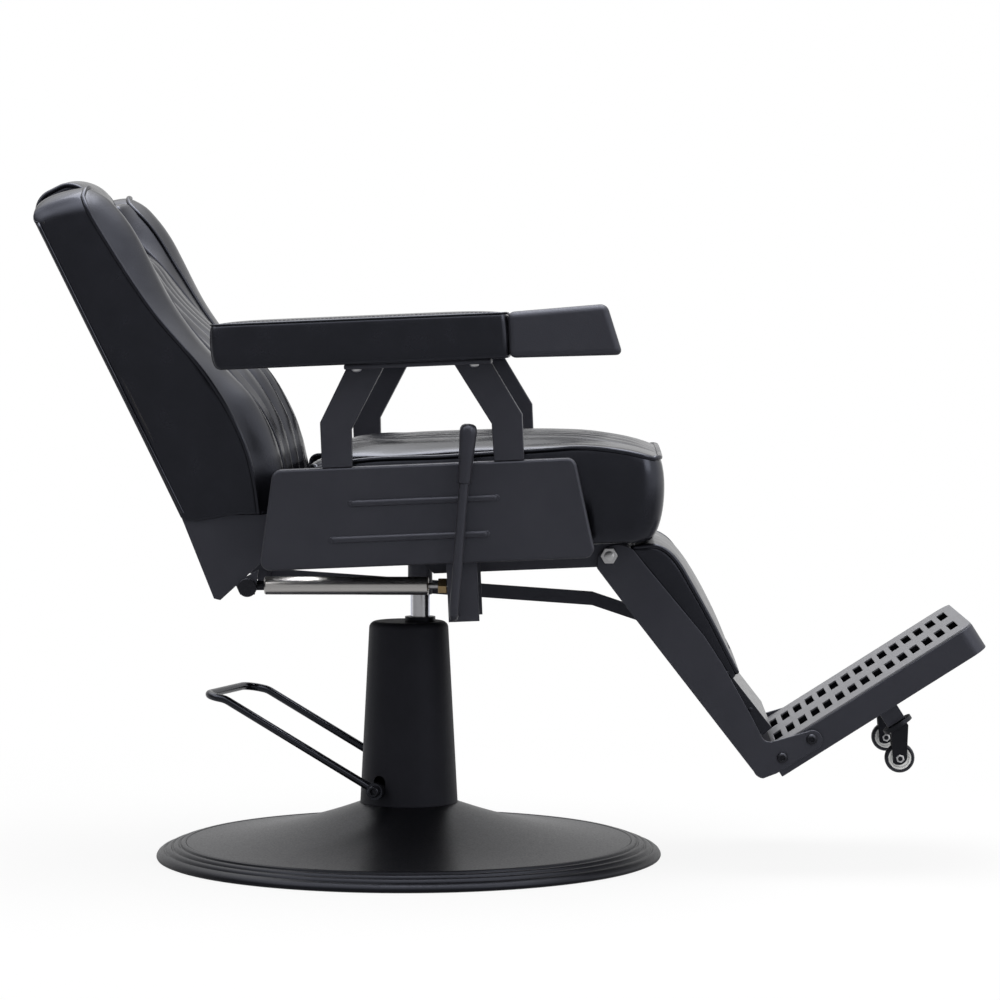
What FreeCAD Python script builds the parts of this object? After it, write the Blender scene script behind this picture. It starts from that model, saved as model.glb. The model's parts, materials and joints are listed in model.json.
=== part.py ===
"""Reclining barber chair on a round hydraulic base, at its real size in millimetres.

The origin is on the floor at the middle of the round base. +X is the way the sitter faces, +Y is the
sitter's left and +Z is up. The chair is drawn half reclined, with its leg rest half raised.
"""
import FreeCAD, Part
import Sketcher
import math
import os
import types

Vector = FreeCAD.Vector

doc = FreeCAD.newDocument("barber_chair")
sheet = doc.addObject("Spreadsheet::Sheet", "dimensions")

DIMENSIONS = [
    # round base and column
    ("rim_radius", 331, "outer radius of the base rim"),
    ("rim_inner", 292, "inner radius of the rim, where the cover starts"),
    ("rim_height", 22, "height of the rim at its inner edge"),
    ("rim_step", 3.2, "height of one ridge of the rim"),
    ("rim_ridges", 4, "ridges of the rim"),
    ("rim_chamfer", 3, "chamfer of the rim's lower edge"),
    ("ridge_slope", 4, "width of a ridge's sloping flank"),
    ("ridge_drop", 1, "fall of a ridge's flank"),
    ("floor_plate_height", 8, "thickness of the floor plate"),
    ("floor_plate_gap", 0.5, "gap between the floor plate and the rim"),
    ("cover_wall", 3, "sheet thickness of the trumpet cover"),
    ("cover_arc", 820, "radius of the cover's hollow curve"),
    ("shroud_base", 64, "radius of the column shroud at its foot"),
    ("shroud_top", 52, "radius of the column shroud at its top"),
    ("shroud_foot", 72, "height of the shroud's foot"),
    ("shroud_height", 310, "height of the shroud's top"),
    ("shroud_round", 9, "rounding of the shroud's top edge"),
    ("shroud_wall", 3, "wall of the shroud"),
    ("slot_width", 18, "width of the pedal slot in the shroud"),
    ("slot_bottom", 82, "lower end of the pedal slot"),
    ("slot_top", 114, "upper end of the pedal slot"),
    # hydraulic pump and its pedal
    ("pump_yaw", 17.5, "angle by which pump and pedal are turned in plan"),
    ("pump_radius", 30, "outer radius of the pump cylinder"),
    ("pump_top", 304, "top of the pump cylinder"),
    ("gland_radius", 20, "radius of the gland round the piston"),
    ("gland_top", 316, "top of the gland"),
    ("block_front", 46, "front face of the pump block"),
    ("block_rear", 36, "rear face of the pump block"),
    ("block_half", 34, "half width of the pump block"),
    ("block_top", 115, "top of the pump block"),
    ("flange_half", 58, "half size of the pump's foot flange"),
    ("flange_half_width", 46.4, "half width of the pump's foot flange"),
    ("flange_top", 16, "top of the pump's foot flange"),
    ("shaft_back", 19, "pedal shaft behind the column axis"),
    ("shaft_height", 93, "height of the pedal shaft"),
    ("shaft_radius", 6, "radius of the pedal shaft"),
    ("shaft_half", 77.5, "half length of the pedal shaft"),
    ("loop_half", 71.5, "half width of the pedal loop, between rod axes"),
    ("loop_knee", 231, "where the pedal arms bend flatter"),
    ("loop_end", 260.5, "distance of the pedal's cross bar"),
    ("loop_rise", 28, "slope of the pedal arms in degrees"),
    ("loop_tip", 5, "rise of the flatter end of the pedal"),
    ("loop_rod", 5.25, "radius of the pedal rod"),
    ("loop_bend", 20, "bend radius of the pedal corners"),
    ("loop_gentle", 30, "bend radius where the pedal arms bend flatter"),
    ("eye_radius", 11, "outer radius of the pedal's shaft eyes"),
    ("eye_half", 6, "half width of the pedal's shaft eyes"),
    ("bolt_head", 8, "radius of the pedal's socket heads"),
    ("bolt_head_height", 6, "height of the pedal's socket heads"),
    ("running_gap", 0.05, "radial clearance of shafts in their holes"),
    ("loose_gap", 0.3, "clearance between parts that stand close"),
    ("cut_over", 2, "how far a cut reaches past what it cuts"),
    ("slot_arc", 1.05, "radius of a slot's end arcs over half its width"),
    # piston and hub
    ("piston_x", 15, "piston axis in front of the base's middle"),
    ("piston_radius", 12.5, "radius of the chromed piston"),
    ("piston_foot", 40, "lower end of the piston"),
    ("piston_top", 390, "upper end of the piston"),
    ("piston_chamfer", 2, "chamfer of the piston's head"),
    ("hub_radius", 16, "outer radius of the swivel hub"),
    ("hub_foot", 345, "lower end of the swivel hub"),
    ("hub_flange", 46, "radius of the hub's flange"),
    ("hub_flange_height", 6, "thickness of the hub's flange"),
    ("hub_gap", 1.5, "gap between the hub's flange and the tilted mount plate"),
    # seat frame; its own frame is tilted up to the front
    ("seat_height", 401.4, "height of the seat frame's datum above the floor"),
    ("seat_tilt", 2.4, "tilt of the seat in degrees, up to the front"),
    ("rail_inner", 141, "inner face of the frame rails"),
    ("rail_width", 24, "width of a frame rail"),
    ("rail_rear", 130, "rear end of the rails"),
    ("rail_front", 278, "front end of the rails"),
    ("rail_step", 28, "where the rails get deeper"),
    ("rail_shallow", 8, "depth of the rails at the rear, below the datum"),
    ("rail_deep", 20, "depth of the rails at the front, below the datum"),
    ("rail_top", 10, "top of the rails"),
    ("plate_rear", 75, "rear edge of the mount plate"),
    ("plate_front", 100, "front edge of the mount plate"),
    ("plate_thickness", 8, "thickness of the mount plate"),
    ("tube_height", 16, "height of the cross tubes"),
    ("tube_half", 15, "half width of the cross tubes"),
    ("tube_wall", 2, "wall of the cross tubes"),
    ("cross_rear", 78, "rear cross tube, behind the datum"),
    ("cross_front", 190, "front cross tube"),
    ("board_thickness", 12, "thickness of the seat board"),
    ("board_half", 246, "half width of the seat board"),
    ("board_rear", 104, "rear edge of the seat board"),
    ("board_front", 228, "front edge of the seat board"),
    # side panels and arms
    ("panel_face", 300, "outer face of the side panels from the middle"),
    ("panel_depth", 22, "depth of the side panels"),
    ("panel_wall", 2.5, "sheet thickness of the side panels"),
    ("panel_height", 124, "height of the side panels"),
    ("panel_rear_foot", 168.8, "rear lower corner of the panels"),
    ("panel_rear_top", 146.7, "rear upper corner of the panels"),
    ("panel_front_foot", 247.2, "front lower corner of the panels"),
    ("panel_front_top", 226, "front upper corner of the panels"),
    ("panel_corner", 12, "corner radius of the panels"),
    ("panel_edge", 4, "rounding of the panels' outer edge"),
    ("bead_half", 3.5, "half height of a pressed bead"),
    ("bead_rise", 1.6, "rise of a pressed bead"),
    ("bead_upper", 79, "height of the upper bead"),
    ("bead_upper_rear", 52, "rear end of the upper bead"),
    ("bead_upper_front", 129, "front end of the upper bead"),
    ("bead_lower", 35, "height of the lower bead"),
    ("bead_lower_rear", 78, "rear end of the lower bead"),
    ("bead_lower_front", 115, "front end of the lower bead"),
    ("post_thickness", 21, "thickness of the arm posts across the chair"),
    ("post_width", 37, "width of the arm posts"),
    ("post_rear", 85.5, "rear edge of the rear post's foot"),
    ("post_front", 163.5, "front edge of the front post's foot"),
    ("post_lean", 38, "how far a post leans at its rear or front edge"),
    ("post_head", 46, "width of a post at the arm pad"),
    ("post_knee_outer", 180, "height of a post's outer bend"),
    ("post_knee_inner", 170, "height of a post's inner bend"),
    ("post_flare", 1, "how much a post widens up to its inner bend"),
    ("post_inset", 0.5, "how far the posts stay inside the panels' outer faces"),
    ("pad_foot", 250, "underside of the arm pads"),
    ("pad_half", 46.5, "half width of the arm pads"),
    ("pad_middle", 298.5, "middle of the arm pads from the middle of the chair"),
    ("pad_rear", 211, "rear end of the arm pads"),
    ("pad_seam", 151, "where the leather ends and the hand rest starts"),
    ("pad_nose", 290, "front end of the hand rests"),
    ("pad_side", 46, "height of the arm pads at their sides"),
    ("pad_crown", 6, "crown of the arm pads"),
    ("pad_corner", 4, "cut corners of an arm pad's section"),
    ("pad_edge", 7, "width of the pads' sloping top edges"),
    ("pad_waist", 1.5, "draw-in of the pads' sides"),
    ("pad_end", 30, "length of the pads' rounded rear end"),
    ("pad_end_in", 5, "draw-in of the rear end"),
    ("pad_end_drop", 9, "drop of the rear end"),
    ("pad_butt", 14, "length of the rounding where pad and hand rest meet"),
    ("pad_butt_in", 3, "draw-in and drop where pad and hand rest meet"),
    ("pad_flat", 2, "crown lost at an end"),
    ("grip_rise", 6, "extra height of the hand rests near their nose"),
    ("grip_round", 24, "length of the hand rests' rounded nose"),
    ("grip_nose_in", 10, "draw-in of the hand rests' nose"),
    ("grip_nose_drop", 12, "drop of the hand rests' nose"),
    # seat cushion, in the seat's frame
    ("seat_half", 262, "half width of the seat cushion"),
    ("seat_rear", 107, "rear face of the seat cushion"),
    ("seat_sole", 38, "underside of the seat cushion"),
    ("seat_lip", 14, "underside of the cushion's front roll"),
    ("seat_lip_rear", 232, "rear of the cushion's front roll"),
    ("seat_lip_front", 308, "front of the roll's underside"),
    ("seat_nose", 337, "foremost point of the front roll"),
    ("seat_nose_height", 92, "height of the foremost point"),
    ("seat_brow", 331, "front top edge of the cushion"),
    ("seat_brow_height", 122, "height of the front top edge"),
    ("seat_crown", 144, "highest line of the seat cushion"),
    ("seat_crown_x", 240, "place of the highest line"),
    ("seat_tail", 136, "height of the cushion at the back"),
    ("seat_channel", 30, "half the pitch of the seat's sewn channels"),
    ("channel_depth", 6, "depth of the sewn channels"),
    ("seat_seams", 5, "half pitches from the seat's middle to its outer seams"),
    ("seam_reach", 14, "how far a seam draws in the bolster beside it"),
    ("seam_dip", 2, "how much it draws in the bolster"),
    ("seat_edge", 62, "width of the seat's rounded side edges"),
    ("seat_edge_drop", 24, "drop of the seat's top at its sides"),
    ("seat_edge_inset", 9, "draw-in of the seat's ends at its sides"),
    ("seat_lean", 2, "lean of the cushion's rear faces"),
    ("seat_bow", 2, "bow of the seat's top between tail and crown"),
    ("seat_tail_round", 14, "length of the rounded rear edge"),
    ("seat_tail_drop", 18, "height of the rounded rear edge"),
    ("seat_brow_round", 30, "length of the rounded front edge"),
    ("seat_brow_bow", 5, "bow of the rounded front edge"),
    ("seat_brow_share", 0.6, "share of a drop that the front edge takes"),
    # recline lock and its lever
    ("lock_y", 200, "lock axis from the middle of the chair"),
    ("lock_height", 370, "height of the lock axis"),
    ("lock_pivot_x", 78, "front pivot of the lock"),
    ("lock_eye_x", -189, "rear eye of the lock"),
    ("lock_radius", 11.5, "outer radius of the lock tube"),
    ("lock_bore", 8.5, "bore of the lock tube"),
    ("lock_chamfer", 1.5, "chamfer of the lock tube's ends"),
    ("lock_gland", 8, "length of the lock tube's guide for the rod"),
    ("lock_cap", 6, "thickness of the lock tube's closed end"),
    ("lock_neck", 6, "radius of the rear eye's neck"),
    ("rod_eye", 9, "outer radius of the lock rod's eye"),
    ("lock_rear", -171, "rear end of the lock tube"),
    ("lock_front", 36, "front end of the lock tube"),
    ("lock_rod_radius", 4, "radius of the lock rod"),
    ("lock_rod_rear", -110, "inner end of the lock rod"),
    ("nut_rear", 48, "rear face of the lock nut"),
    ("nut_width", 11, "width of the lock nut"),
    ("nut_radius", 10.5, "corner radius of the lock nut"),
    ("lock_eye_radius", 10, "outer radius of the lock's eyes"),
    ("lock_eye_half", 8, "half width of the lock's eyes"),
    ("lock_pin", 5, "radius of the rear lock pin"),
    ("open_gap", 1.4, "clearance round a pin whose link swings on a circle"),
    ("bracket_rear", 62, "rear face of the lock bracket"),
    ("bracket_front", 100, "front edge of the lock bracket"),
    ("bracket_depth", 73, "depth of the lock bracket below the panel"),
    ("bracket_sheet", 4, "sheet thickness of the lock bracket"),
    ("bracket_outer", 288, "outer face of the lock bracket"),
    ("bracket_ear", 182, "outer face of the bracket's inner ear"),
    ("rod_hole", 8, "radius of the hole that the lock rod swings in"),
    ("stud_over", 2, "how far a stud stands out past its eye"),
    ("lever_x", 72, "axis of the recline lever"),
    ("lever_height", 340, "height of the lever's axis"),
    ("lever_face", 318, "lever's plane from the middle of the chair"),
    ("lever_inner", 262, "inner end of the lever's shaft"),
    ("lever_radius", 6, "radius of the lever rod"),
    ("lever_top_x", 85.5, "upper end of the lever rod"),
    ("lever_top", 507, "height of the lever rod's upper end"),
    ("lever_bend", 13, "bend radius of the lever rod"),
    ("knob_length", 70, "length of the lever's grip"),
    ("knob_foot", 6.6, "radius of the grip at its foot"),
    ("knob_head", 10.75, "largest radius of the grip"),
    ("knob_dome", 8, "height of the grip's domed end"),
    ("knob_flat", 4.75, "radius of the dome's flat top"),
    ("knob_round", 9, "radius of the dome"),
    # backrest; its own frame leans back, x forward and z up along the back
    ("back_x", -274.7, "lower rear edge of the backrest"),
    ("back_z", 462.4, "height of the lower rear edge"),
    ("back_lean", 26.45, "lean of the backrest in degrees"),
    ("pivot_x", -140, "recline pivot"),
    ("pivot_z", 438, "height of the recline pivot"),
    ("pivot_radius", 8, "radius of the recline pins"),
    ("pin_over", 4, "how far a recline pin stands out past its bracket"),
    ("back_half", 243, "half width of the backrest"),
    ("back_skin", 7, "thickness of the rear cover"),
    ("back_ply", 12, "thickness of the back board"),
    ("back_height", 404, "height of the back board"),
    ("board_inset", 2, "back board inside the backrest's sides"),
    ("board_drop", 3, "back board below the lower rear edge"),
    ("cover_inset", 5, "rear cover inside the backrest's sides"),
    ("cover_foot", 1, "lower edge of the rear cover"),
    ("cover_top_gap", 6, "rear cover below the board's top"),
    ("cover_notch_gap", 2, "rear cover outside the notch"),
    ("notch_half", 131, "half width of the notch for the headrest"),
    ("notch_foot", 318, "lower end of the notch"),
    ("wing_top", 412, "top of the side wings"),
    ("wing_foot_x", 128, "front of the backrest's lower edge"),
    ("wing_foot_z", -63, "height of the front lower edge"),
    ("back_pitch", 26, "half the pitch of the backrest's pleats"),
    ("back_seams", 4, "half pitches from the backrest's middle to its outer pleats"),
    ("chin_in", 10, "how far the cushion's foot lies behind its lumbar swell"),
    ("chin_drop", 8, "height of the foot below the lower rear edge"),
    ("lumbar_z", 65, "height of the lumbar swell"),
    ("chest_z", 125, "height where the swell ends"),
    ("waist_z", 211, "height half way up"),
    ("crest_drop", 84, "upper bend below the top"),
    ("crest_bow", 6, "bow of the front above its upper bend"),
    ("crest_bow_rise", 8, "how far that bow lies above the middle"),
    ("brow_in", 28, "how far the top lies behind the upper bend"),
    ("top_tuck", 6, "fall of the cushion's top to its rear"),
    ("swell_most", 160, "swell whose sole ends at the front lower edge"),
    ("sole_in", 0.6, "draw-in of the sole for a lesser swell"),
    ("sole_rise", 0.25, "rise of the sole for a lesser swell"),
    ("back_edge_swell", 112, "front at the sides: how far it stands out low down"),
    ("back_edge_waist", 92, "the same half way up"),
    ("back_edge_upper", 74, "the same high up"),
    ("back_edge_drop", 8, "top of the sides below the wings' top"),
    ("roll_in", 52, "crest of the side rolls, in from the sides"),
    ("roll_swell", 149, "side rolls: how far they stand out low down"),
    ("roll_waist", 119, "the same half way up"),
    ("roll_upper", 109, "the same high up"),
    ("roll_seam_in", 84, "inner seam of the side rolls, in from the sides"),
    ("roll_seam_waist", 116, "inner seam half way up"),
    ("roll_seam_upper", 106, "inner seam high up"),
    ("strip_in", 8, "front of the notch's side strips, out from the notch"),
    ("strip_swell", 151, "side strips: how far they stand out low down"),
    ("strip_waist", 107, "the same half way up"),
    ("strip_upper", 94, "the same high up"),
    ("strip_drop", 4, "top of the strips below the wings' top"),
    ("wing_fullness", 0.66, "how much of the swell the wings keep at its end"),
    ("notch_swell", 154, "notch's sides: how far they stand out low down"),
    ("notch_waist", 104, "the same half way up"),
    ("notch_upper", 82, "the same high up"),
    ("notch_fullness", 0.76, "how much of the swell they keep at its end"),
    ("middle_swell", 164, "pleated middle: how far it stands out low down"),
    ("middle_waist", 108, "the same half way up"),
    ("middle_upper", 78, "the same high up"),
    ("middle_fullness", 0.85, "how much of the swell it keeps at its end"),
    ("middle_rise", 6, "top of the pleated middle above the notch's foot"),
    ("middle_crest", 60, "how much higher the middle's upper bend lies below its top"),
    ("ear_sheet", 5, "thickness of the back brackets"),
    ("ear_face", 237, "outer face of the back brackets"),
    ("ear_top", 461, "top of the back brackets"),
    ("ear_flange", 30, "width of the brackets' top flange"),
    ("ear_rear", -272.7, "rear end of the back brackets' top"),
    ("ear_heel_x", -231, "rear of the brackets' foot"),
    ("ear_heel_z", 356, "height of the foot's rear"),
    ("ear_toe_x", -223, "front of the brackets' foot"),
    ("ear_toe_z", 354, "height of the foot's front"),
    ("ear_crook_x", -200, "front edge above the foot"),
    ("ear_crook_z", 375, "height of that edge"),
    ("ear_waist_x", -174, "bend of the lower edge"),
    ("ear_waist_z", 399, "height of that bend"),
    ("ear_chin_x", -130, "lower edge below the pivot"),
    ("ear_chin_z", 416, "height of that edge"),
    ("ear_nose_x", -118, "front edge before the pivot"),
    ("ear_nose_z", 430, "height of that edge"),
    ("ear_front", -120, "front end of the brackets' top"),
    ("flange_rear", -260.7, "rear end of the top flange"),
    ("flange_front", -150, "front end of the top flange"),
    ("lug_half", 9, "half width of the lock's lug at its foot"),
    ("lug_rear", 16, "rear of the lug's root"),
    ("lug_rear_rise", 6, "height of the root's rear"),
    ("lug_front", 14, "front of the lug's root"),
    ("lug_front_rise", 22, "height of the root's front"),
    ("tie_x", -225, "cross tube of the backrest"),
    ("tie_z", 395, "height of the backrest's cross tube"),
    ("tie_radius", 12.5, "radius of the backrest's cross tube"),
    ("cheek_offset", 8, "clevis cheeks from the link's plane"),
    ("cheek_sheet", 5, "thickness of a clevis cheek"),
    ("cheek_half", 6, "half width of a cheek at the tube"),
    ("cheek_eye", 9, "half width of a cheek at the pin"),
    ("cheek_span", 24, "length of the clevis pin"),
    # headrest, in the backrest's frame
    ("head_half", 122, "half width of the headrest pad"),
    ("head_foot", 330, "underside of the headrest pad"),
    ("head_top", 451, "top of the headrest pad"),
    ("head_rear", -18, "rear of the headrest pad"),
    ("head_front", 58, "front of the headrest pad"),
    ("pillow_round", 14, "length of the pillow's lower roundings"),
    ("pillow_low", 20, "height of the pillow's lower roundings"),
    ("pillow_lean", 2, "how much the pillow narrows upwards at each face"),
    ("pillow_front", 34, "upper end of the pillow's front face below its top"),
    ("pillow_back", 26, "upper end of the pillow's rear face below its top"),
    ("pillow_end", 24, "width of the pillow's rounded ends"),
    ("pillow_shrink", 14, "draw-in of the pillow's ends"),
    ("pillow_sink", 0.4, "share of the draw-in at the underside"),
    ("stem_half", 10, "half width of the headrest stem"),
    ("stem_half_depth", 2.5, "half thickness of the headrest stem"),
    ("stem_gap", 0.1, "clearance of the stem in its socket"),
    ("stem_foot", 180, "lower end of the headrest stem"),
    ("socket_half", 17, "half width of the stem socket"),
    ("socket_foot", 172, "lower end of the stem socket"),
    # link between backrest and leg rest
    ("link_y", 70, "plane of the link, left of the middle"),
    ("link_rear_x", -195, "rear pin of the link"),
    ("link_rear_z", 366, "height of the rear pin"),
    ("link_bend_x", 240, "bend of the link"),
    ("link_bend_z", 335, "height of the bend"),
    ("link_front_x", 335, "front eye of the link"),
    ("link_front_z", 303, "height of the front eye"),
    ("link_half", 9, "half height of the link bar"),
    ("link_tail", 10, "how far the link reaches past its rear pin"),
    ("link_sheet", 8, "thickness of the link bar"),
    ("link_pin", 5, "radius of the link's rear pin"),
    ("link_eye", 14.5, "outer radius of the link's front eye"),
    # leg rest plates
    ("knee_x", 262.7, "leg rest pivot"),
    ("knee_z", 406.6, "height of the leg rest pivot"),
    ("knee_bolt", 6, "radius of the leg rest bolts"),
    ("knee_head", 11, "corner radius of the leg rest's bolt heads"),
    ("knee_head_height", 7, "height of the leg rest's bolt heads"),
    ("shin_face", 171, "outer face of the leg plates"),
    ("shin_sheet", 5, "thickness of the leg plates"),
    ("shin_tube", 8, "radius of the tube between the leg plates"),
    ("shin_back_x", 247, "rear edge of a leg plate below its bolt"),
    ("shin_back_z", 391, "height of the rear edge below the bolt"),
    ("shin_bend_x", 297, "slight bend of the rear edge"),
    ("shin_bend_z", 325, "height of the slight bend"),
    ("heel_back_x", 446, "foot of the rear edge"),
    ("heel_back_z", 133, "height of the rear edge's foot"),
    ("heel_x", 458, "lowest point of a leg plate"),
    ("heel_z", 124.5, "height of the lowest point"),
    ("heel_round", 14, "rounding of the heel"),
    ("sole_x", 475, "start of the straight edge under the foot rest"),
    ("sole_z", 131, "height of that start"),
    ("toe_x", 529, "front end of a leg plate"),
    ("toe_z", 164, "height of the front end"),
    ("toe_round", 13, "rounding of the front end"),
    ("instep_x", 519, "top of the rounded front end"),
    ("instep_z", 186, "height of the rounded end's top"),
    ("crook_x", 470, "front of the inner corner"),
    ("crook_z", 171.5, "height of the inner corner"),
    ("crook_rear_x", 455.5, "rear of the inner corner"),
    ("crook_rear_z", 178.5, "height of the inner corner's rear"),
    ("crook_round", 12, "rounding of the inner corner"),
    ("shin_low_x", 443, "front edge of a leg plate, low"),
    ("shin_low_z", 203, "height of the low point"),
    ("shin_mid_x", 407, "front edge half way up"),
    ("shin_mid_z", 268, "height half way up"),
    ("shin_high_x", 383, "front edge below the pad"),
    ("shin_high_z", 305, "height below the pad"),
    ("brow_x", 293, "front of a leg plate's round head"),
    ("brow_z", 414, "height of the head's front"),
    ("nape_x", 249, "rear of the round head"),
    ("nape_z", 407, "height of the head's rear"),
    ("head_round", 30, "rounding of a leg plate's head"),
    # leg pad; its frame has x forward out of the pad and z up along it
    ("leg_x", 308, "datum of the leg pad on the plates' front edge"),
    ("leg_z", 395, "height of the leg pad's datum"),
    ("leg_slope", 37.9, "slope of the leg pad in degrees"),
    ("leg_half", 165, "half width of the leg pad"),
    ("calf_top", 16, "top of the leg pad"),
    ("calf_foot", -180, "foot of the leg pad"),
    ("calf_back", -6, "rear face of the leg pad"),
    ("calf_ply", 10, "thickness of the leg board"),
    ("calf_board_gap", 4, "top of the leg board below the pad's top"),
    ("calf_thick", 44, "front of the pad at its thickest"),
    ("calf_bulge", 26, "the thickest place below the pad's top"),
    ("calf_waist", 32, "front of the pad below the knee"),
    ("calf_waist_z", -56, "height of that place"),
    ("calf_middle", 25, "front of the pad half way down"),
    ("calf_middle_z", -100, "height of that place"),
    ("calf_shin", 20, "front of the pad lower down"),
    ("calf_shin_z", -140, "height of that place"),
    ("calf_thin", 15, "front of the pad near its foot"),
    ("calf_thin_rise", 6, "height of that place above the foot"),
    ("calf_tip", 6, "front end of the pad's foot"),
    ("calf_cap", 16, "front end of the pad's flat top"),
    ("calf_cap_rise", 4, "rise of the flat top to its front"),
    ("calf_edge", 62, "width of the pad's rounded side edges"),
    ("calf_edge_drop", 11, "drop of the pad's front at its sides"),
    ("calf_edge_inset", 4, "draw-in of the pad's ends at its sides"),
    ("kick_foot", -262, "foot of the kick plate"),
    ("kick_sheet", 2.5, "thickness of the kick plate"),
    ("kick_flange", 16, "depth of the kick plate's folded sides"),
    ("kick_gap", 1, "gap between the pad and the kick plate"),
    # foot rest; its frame has x forward along the tread and z out of it
    ("foot_x", 471.8, "rear top edge of the foot rest"),
    ("foot_z", 160.9, "height of the rear top edge"),
    ("foot_slope", 32.5, "slope of the foot rest in degrees"),
    ("foot_length", 296, "length of the foot rest"),
    ("foot_half", 165.5, "half width of the foot rest"),
    ("foot_depth", 35, "depth of the foot rest"),
    ("foot_sheet", 2.5, "sheet thickness of the foot rest"),
    ("sheet_gap", 0.2, "gap round the plate that closes the foot rest"),
    ("foot_corner", 22, "radius of the front corners"),
    ("screw_low_x", 482, "lower screw of the foot rest"),
    ("screw_low_z", 151, "height of the lower screw"),
    ("screw_high_x", 519, "upper screw of the foot rest"),
    ("screw_high_z", 174.5, "height of the upper screw"),
    ("tread_sheet", 2.5, "thickness of the tread plate"),
    ("tread_margin", 0.5, "margin round the tread plate"),
    ("foot_heel", 10, "length of the foot rest behind its tread"),
    ("foot_rim", 5, "width of the foot rest's rim round its open top"),
    ("slot_first", 6, "start of the first slot from the foot rest's rear edge"),
    ("slot_rows", 15, "rows of slots in the tread"),
    ("slot_pitch", 18.9, "pitch of the slots"),
    ("slot_height", 11.3, "width of a slot along the tread"),
    ("slot_half", 38, "half length of a slot across the tread"),
    ("slot_middle", 72, "middle of a slot from the middle of the tread"),
    ("foot_screw", 7, "radius of the foot rest's screw heads"),
    ("foot_screw_height", 4, "height of the screw heads"),
    # casters, in the foot rest's frame
    ("caster_x", 149, "swivel axis of the casters along the foot rest"),
    ("caster_y", 122, "casters from the middle"),
    ("caster_leg", 12.5, "half width of a caster's leg tube"),
    ("caster_leg_foot", -58.2, "lower end of the leg tubes"),
    ("caster_stem", 5, "radius of the swivel stem"),
    ("stem_depth", 22, "depth of the stem's hole in its leg"),
    ("stem_length", 26, "length of the swivel stem with its disc"),
    ("disc_height", 6, "height of the fork's disc"),
    ("swivel_gap", 0.4, "gap between a fork and its leg"),
    ("caster_disc", 20, "radius of the fork's top"),
    ("caster_trail", 20.7, "trail of the wheel"),
    ("caster_axle", -99.2, "wheel axle below the tread"),
    ("caster_axle_radius", 3, "radius of the wheel axle"),
    ("caster_wheel", 19, "radius of the wheel"),
    ("caster_tread", 8, "half width of the wheel"),
    ("caster_gap", 10, "half width of the gap in the fork"),
    ("caster_fork", 12.5, "half width of the fork"),
    ("fork_half", 11, "half width of the fork's cheeks at their top"),
    ("fork_neck", 3, "top of the cheeks below the fork's top"),
    ("fork_brow", 10, "front end of the cheeks' slope below the fork's top"),
    ("fork_tip", 10.5, "half width of the cheeks at the axle"),
    ("fork_bridge", 9, "thickness of the fork above its gap"),
    ("fork_reach", 60, "length of the cut for the fork's gap"),
    ("axle_over", 3, "how far an axle's end stands out"),
    ("tyre_round", 4, "rounding of the tyre"),
]

for row, (alias, value, meaning) in enumerate(DIMENSIONS, start=1):
    sheet.set(f"A{row}", meaning)
    sheet.set(f"B{row}", str(value))
    sheet.setAlias(f"B{row}", alias)
doc.recompute()


class Size:
    """A length worked out from the sheet: its value now, and the expression that keeps it current."""

    def __init__(self, value, text):
        self.value = value
        self.text = text

    def __add__(self, other):
        other = size_of(other)
        return Size(self.value + other.value, f"({self.text} + {other.text})")

    def __sub__(self, other):
        other = size_of(other)
        return Size(self.value - other.value, f"({self.text} - {other.text})")

    def __mul__(self, factor):
        factor = size_of(factor)
        return Size(self.value * factor.value, f"({self.text} * {factor.text})")

    def __truediv__(self, divisor):
        divisor = size_of(divisor)
        return Size(self.value / divisor.value, f"({self.text} / {divisor.text})")

    def __neg__(self):
        return Size(-self.value, f"(-1 * {self.text})")

    def __radd__(self, other):
        return size_of(other) + self

    def __rsub__(self, other):
        return size_of(other) - self

    def __rmul__(self, factor):
        return size_of(factor) * self


def size_of(number):
    """Give a plain number the form of a sheet size."""
    if isinstance(number, Size):
        return number
    return Size(float(number), repr(float(number)))


d = types.SimpleNamespace(**{
    alias: Size(float(value), f"dimensions.{alias}") for alias, value, meaning in DIMENSIONS
})

ZERO = size_of(0)
FLOOR = (ZERO, ZERO, ZERO)
SEAT = (ZERO, d.seat_height, d.seat_tilt)
BACK = (d.back_x, d.back_z, d.back_lean)
LEG = (d.leg_x, d.leg_z, d.leg_slope)
FOOT = (d.foot_x, d.foot_z, d.foot_slope)
SIDES = (("left", 1), ("right", -1))
EDGE_STEPS = (0, 0.13, 0.42, 1)
parts = []


def bind(target, prop, size):
    """Tie a property of an object to the sheet."""
    target.setExpression(prop, size_of(size).text)


def place(part, frame, y=0):
    """Put a part into one of the chair's tilted frames, y to the left of the middle."""
    x, z, angle = frame
    y = size_of(y)
    turn = FreeCAD.Rotation(Vector(0, -1, 0), angle.value)
    part.Placement = FreeCAD.Placement(Vector(x.value, y.value, z.value), turn)
    bind(part, "Placement.Base.x", x)
    bind(part, "Placement.Base.y", y)
    bind(part, "Placement.Base.z", z)
    if angle.value:
        bind(part, "Placement.Rotation.Angle", angle)


def yaw(part):
    """Turn a part of the pump by the angle at which the pump stands in the base."""
    part.Placement = FreeCAD.Placement(Vector(0, 0, 0), FreeCAD.Rotation(Vector(0, 0, -1), d.pump_yaw.value))
    bind(part, "Placement.Rotation.Angle", d.pump_yaw)


def new_body(label):
    """Start a sub-part that is built from sketches."""
    body = doc.addObject("PartDesign::Body", label)
    body.Label = label
    parts.append(body)
    return body


def new_solid(label, shape):
    """Add a sub-part whose shape is worked out here from the sheet's sizes."""
    solid = doc.addObject("Part::Feature", label)
    solid.Label = label
    solid.Shape = shape
    parts.append(solid)
    return solid


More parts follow.
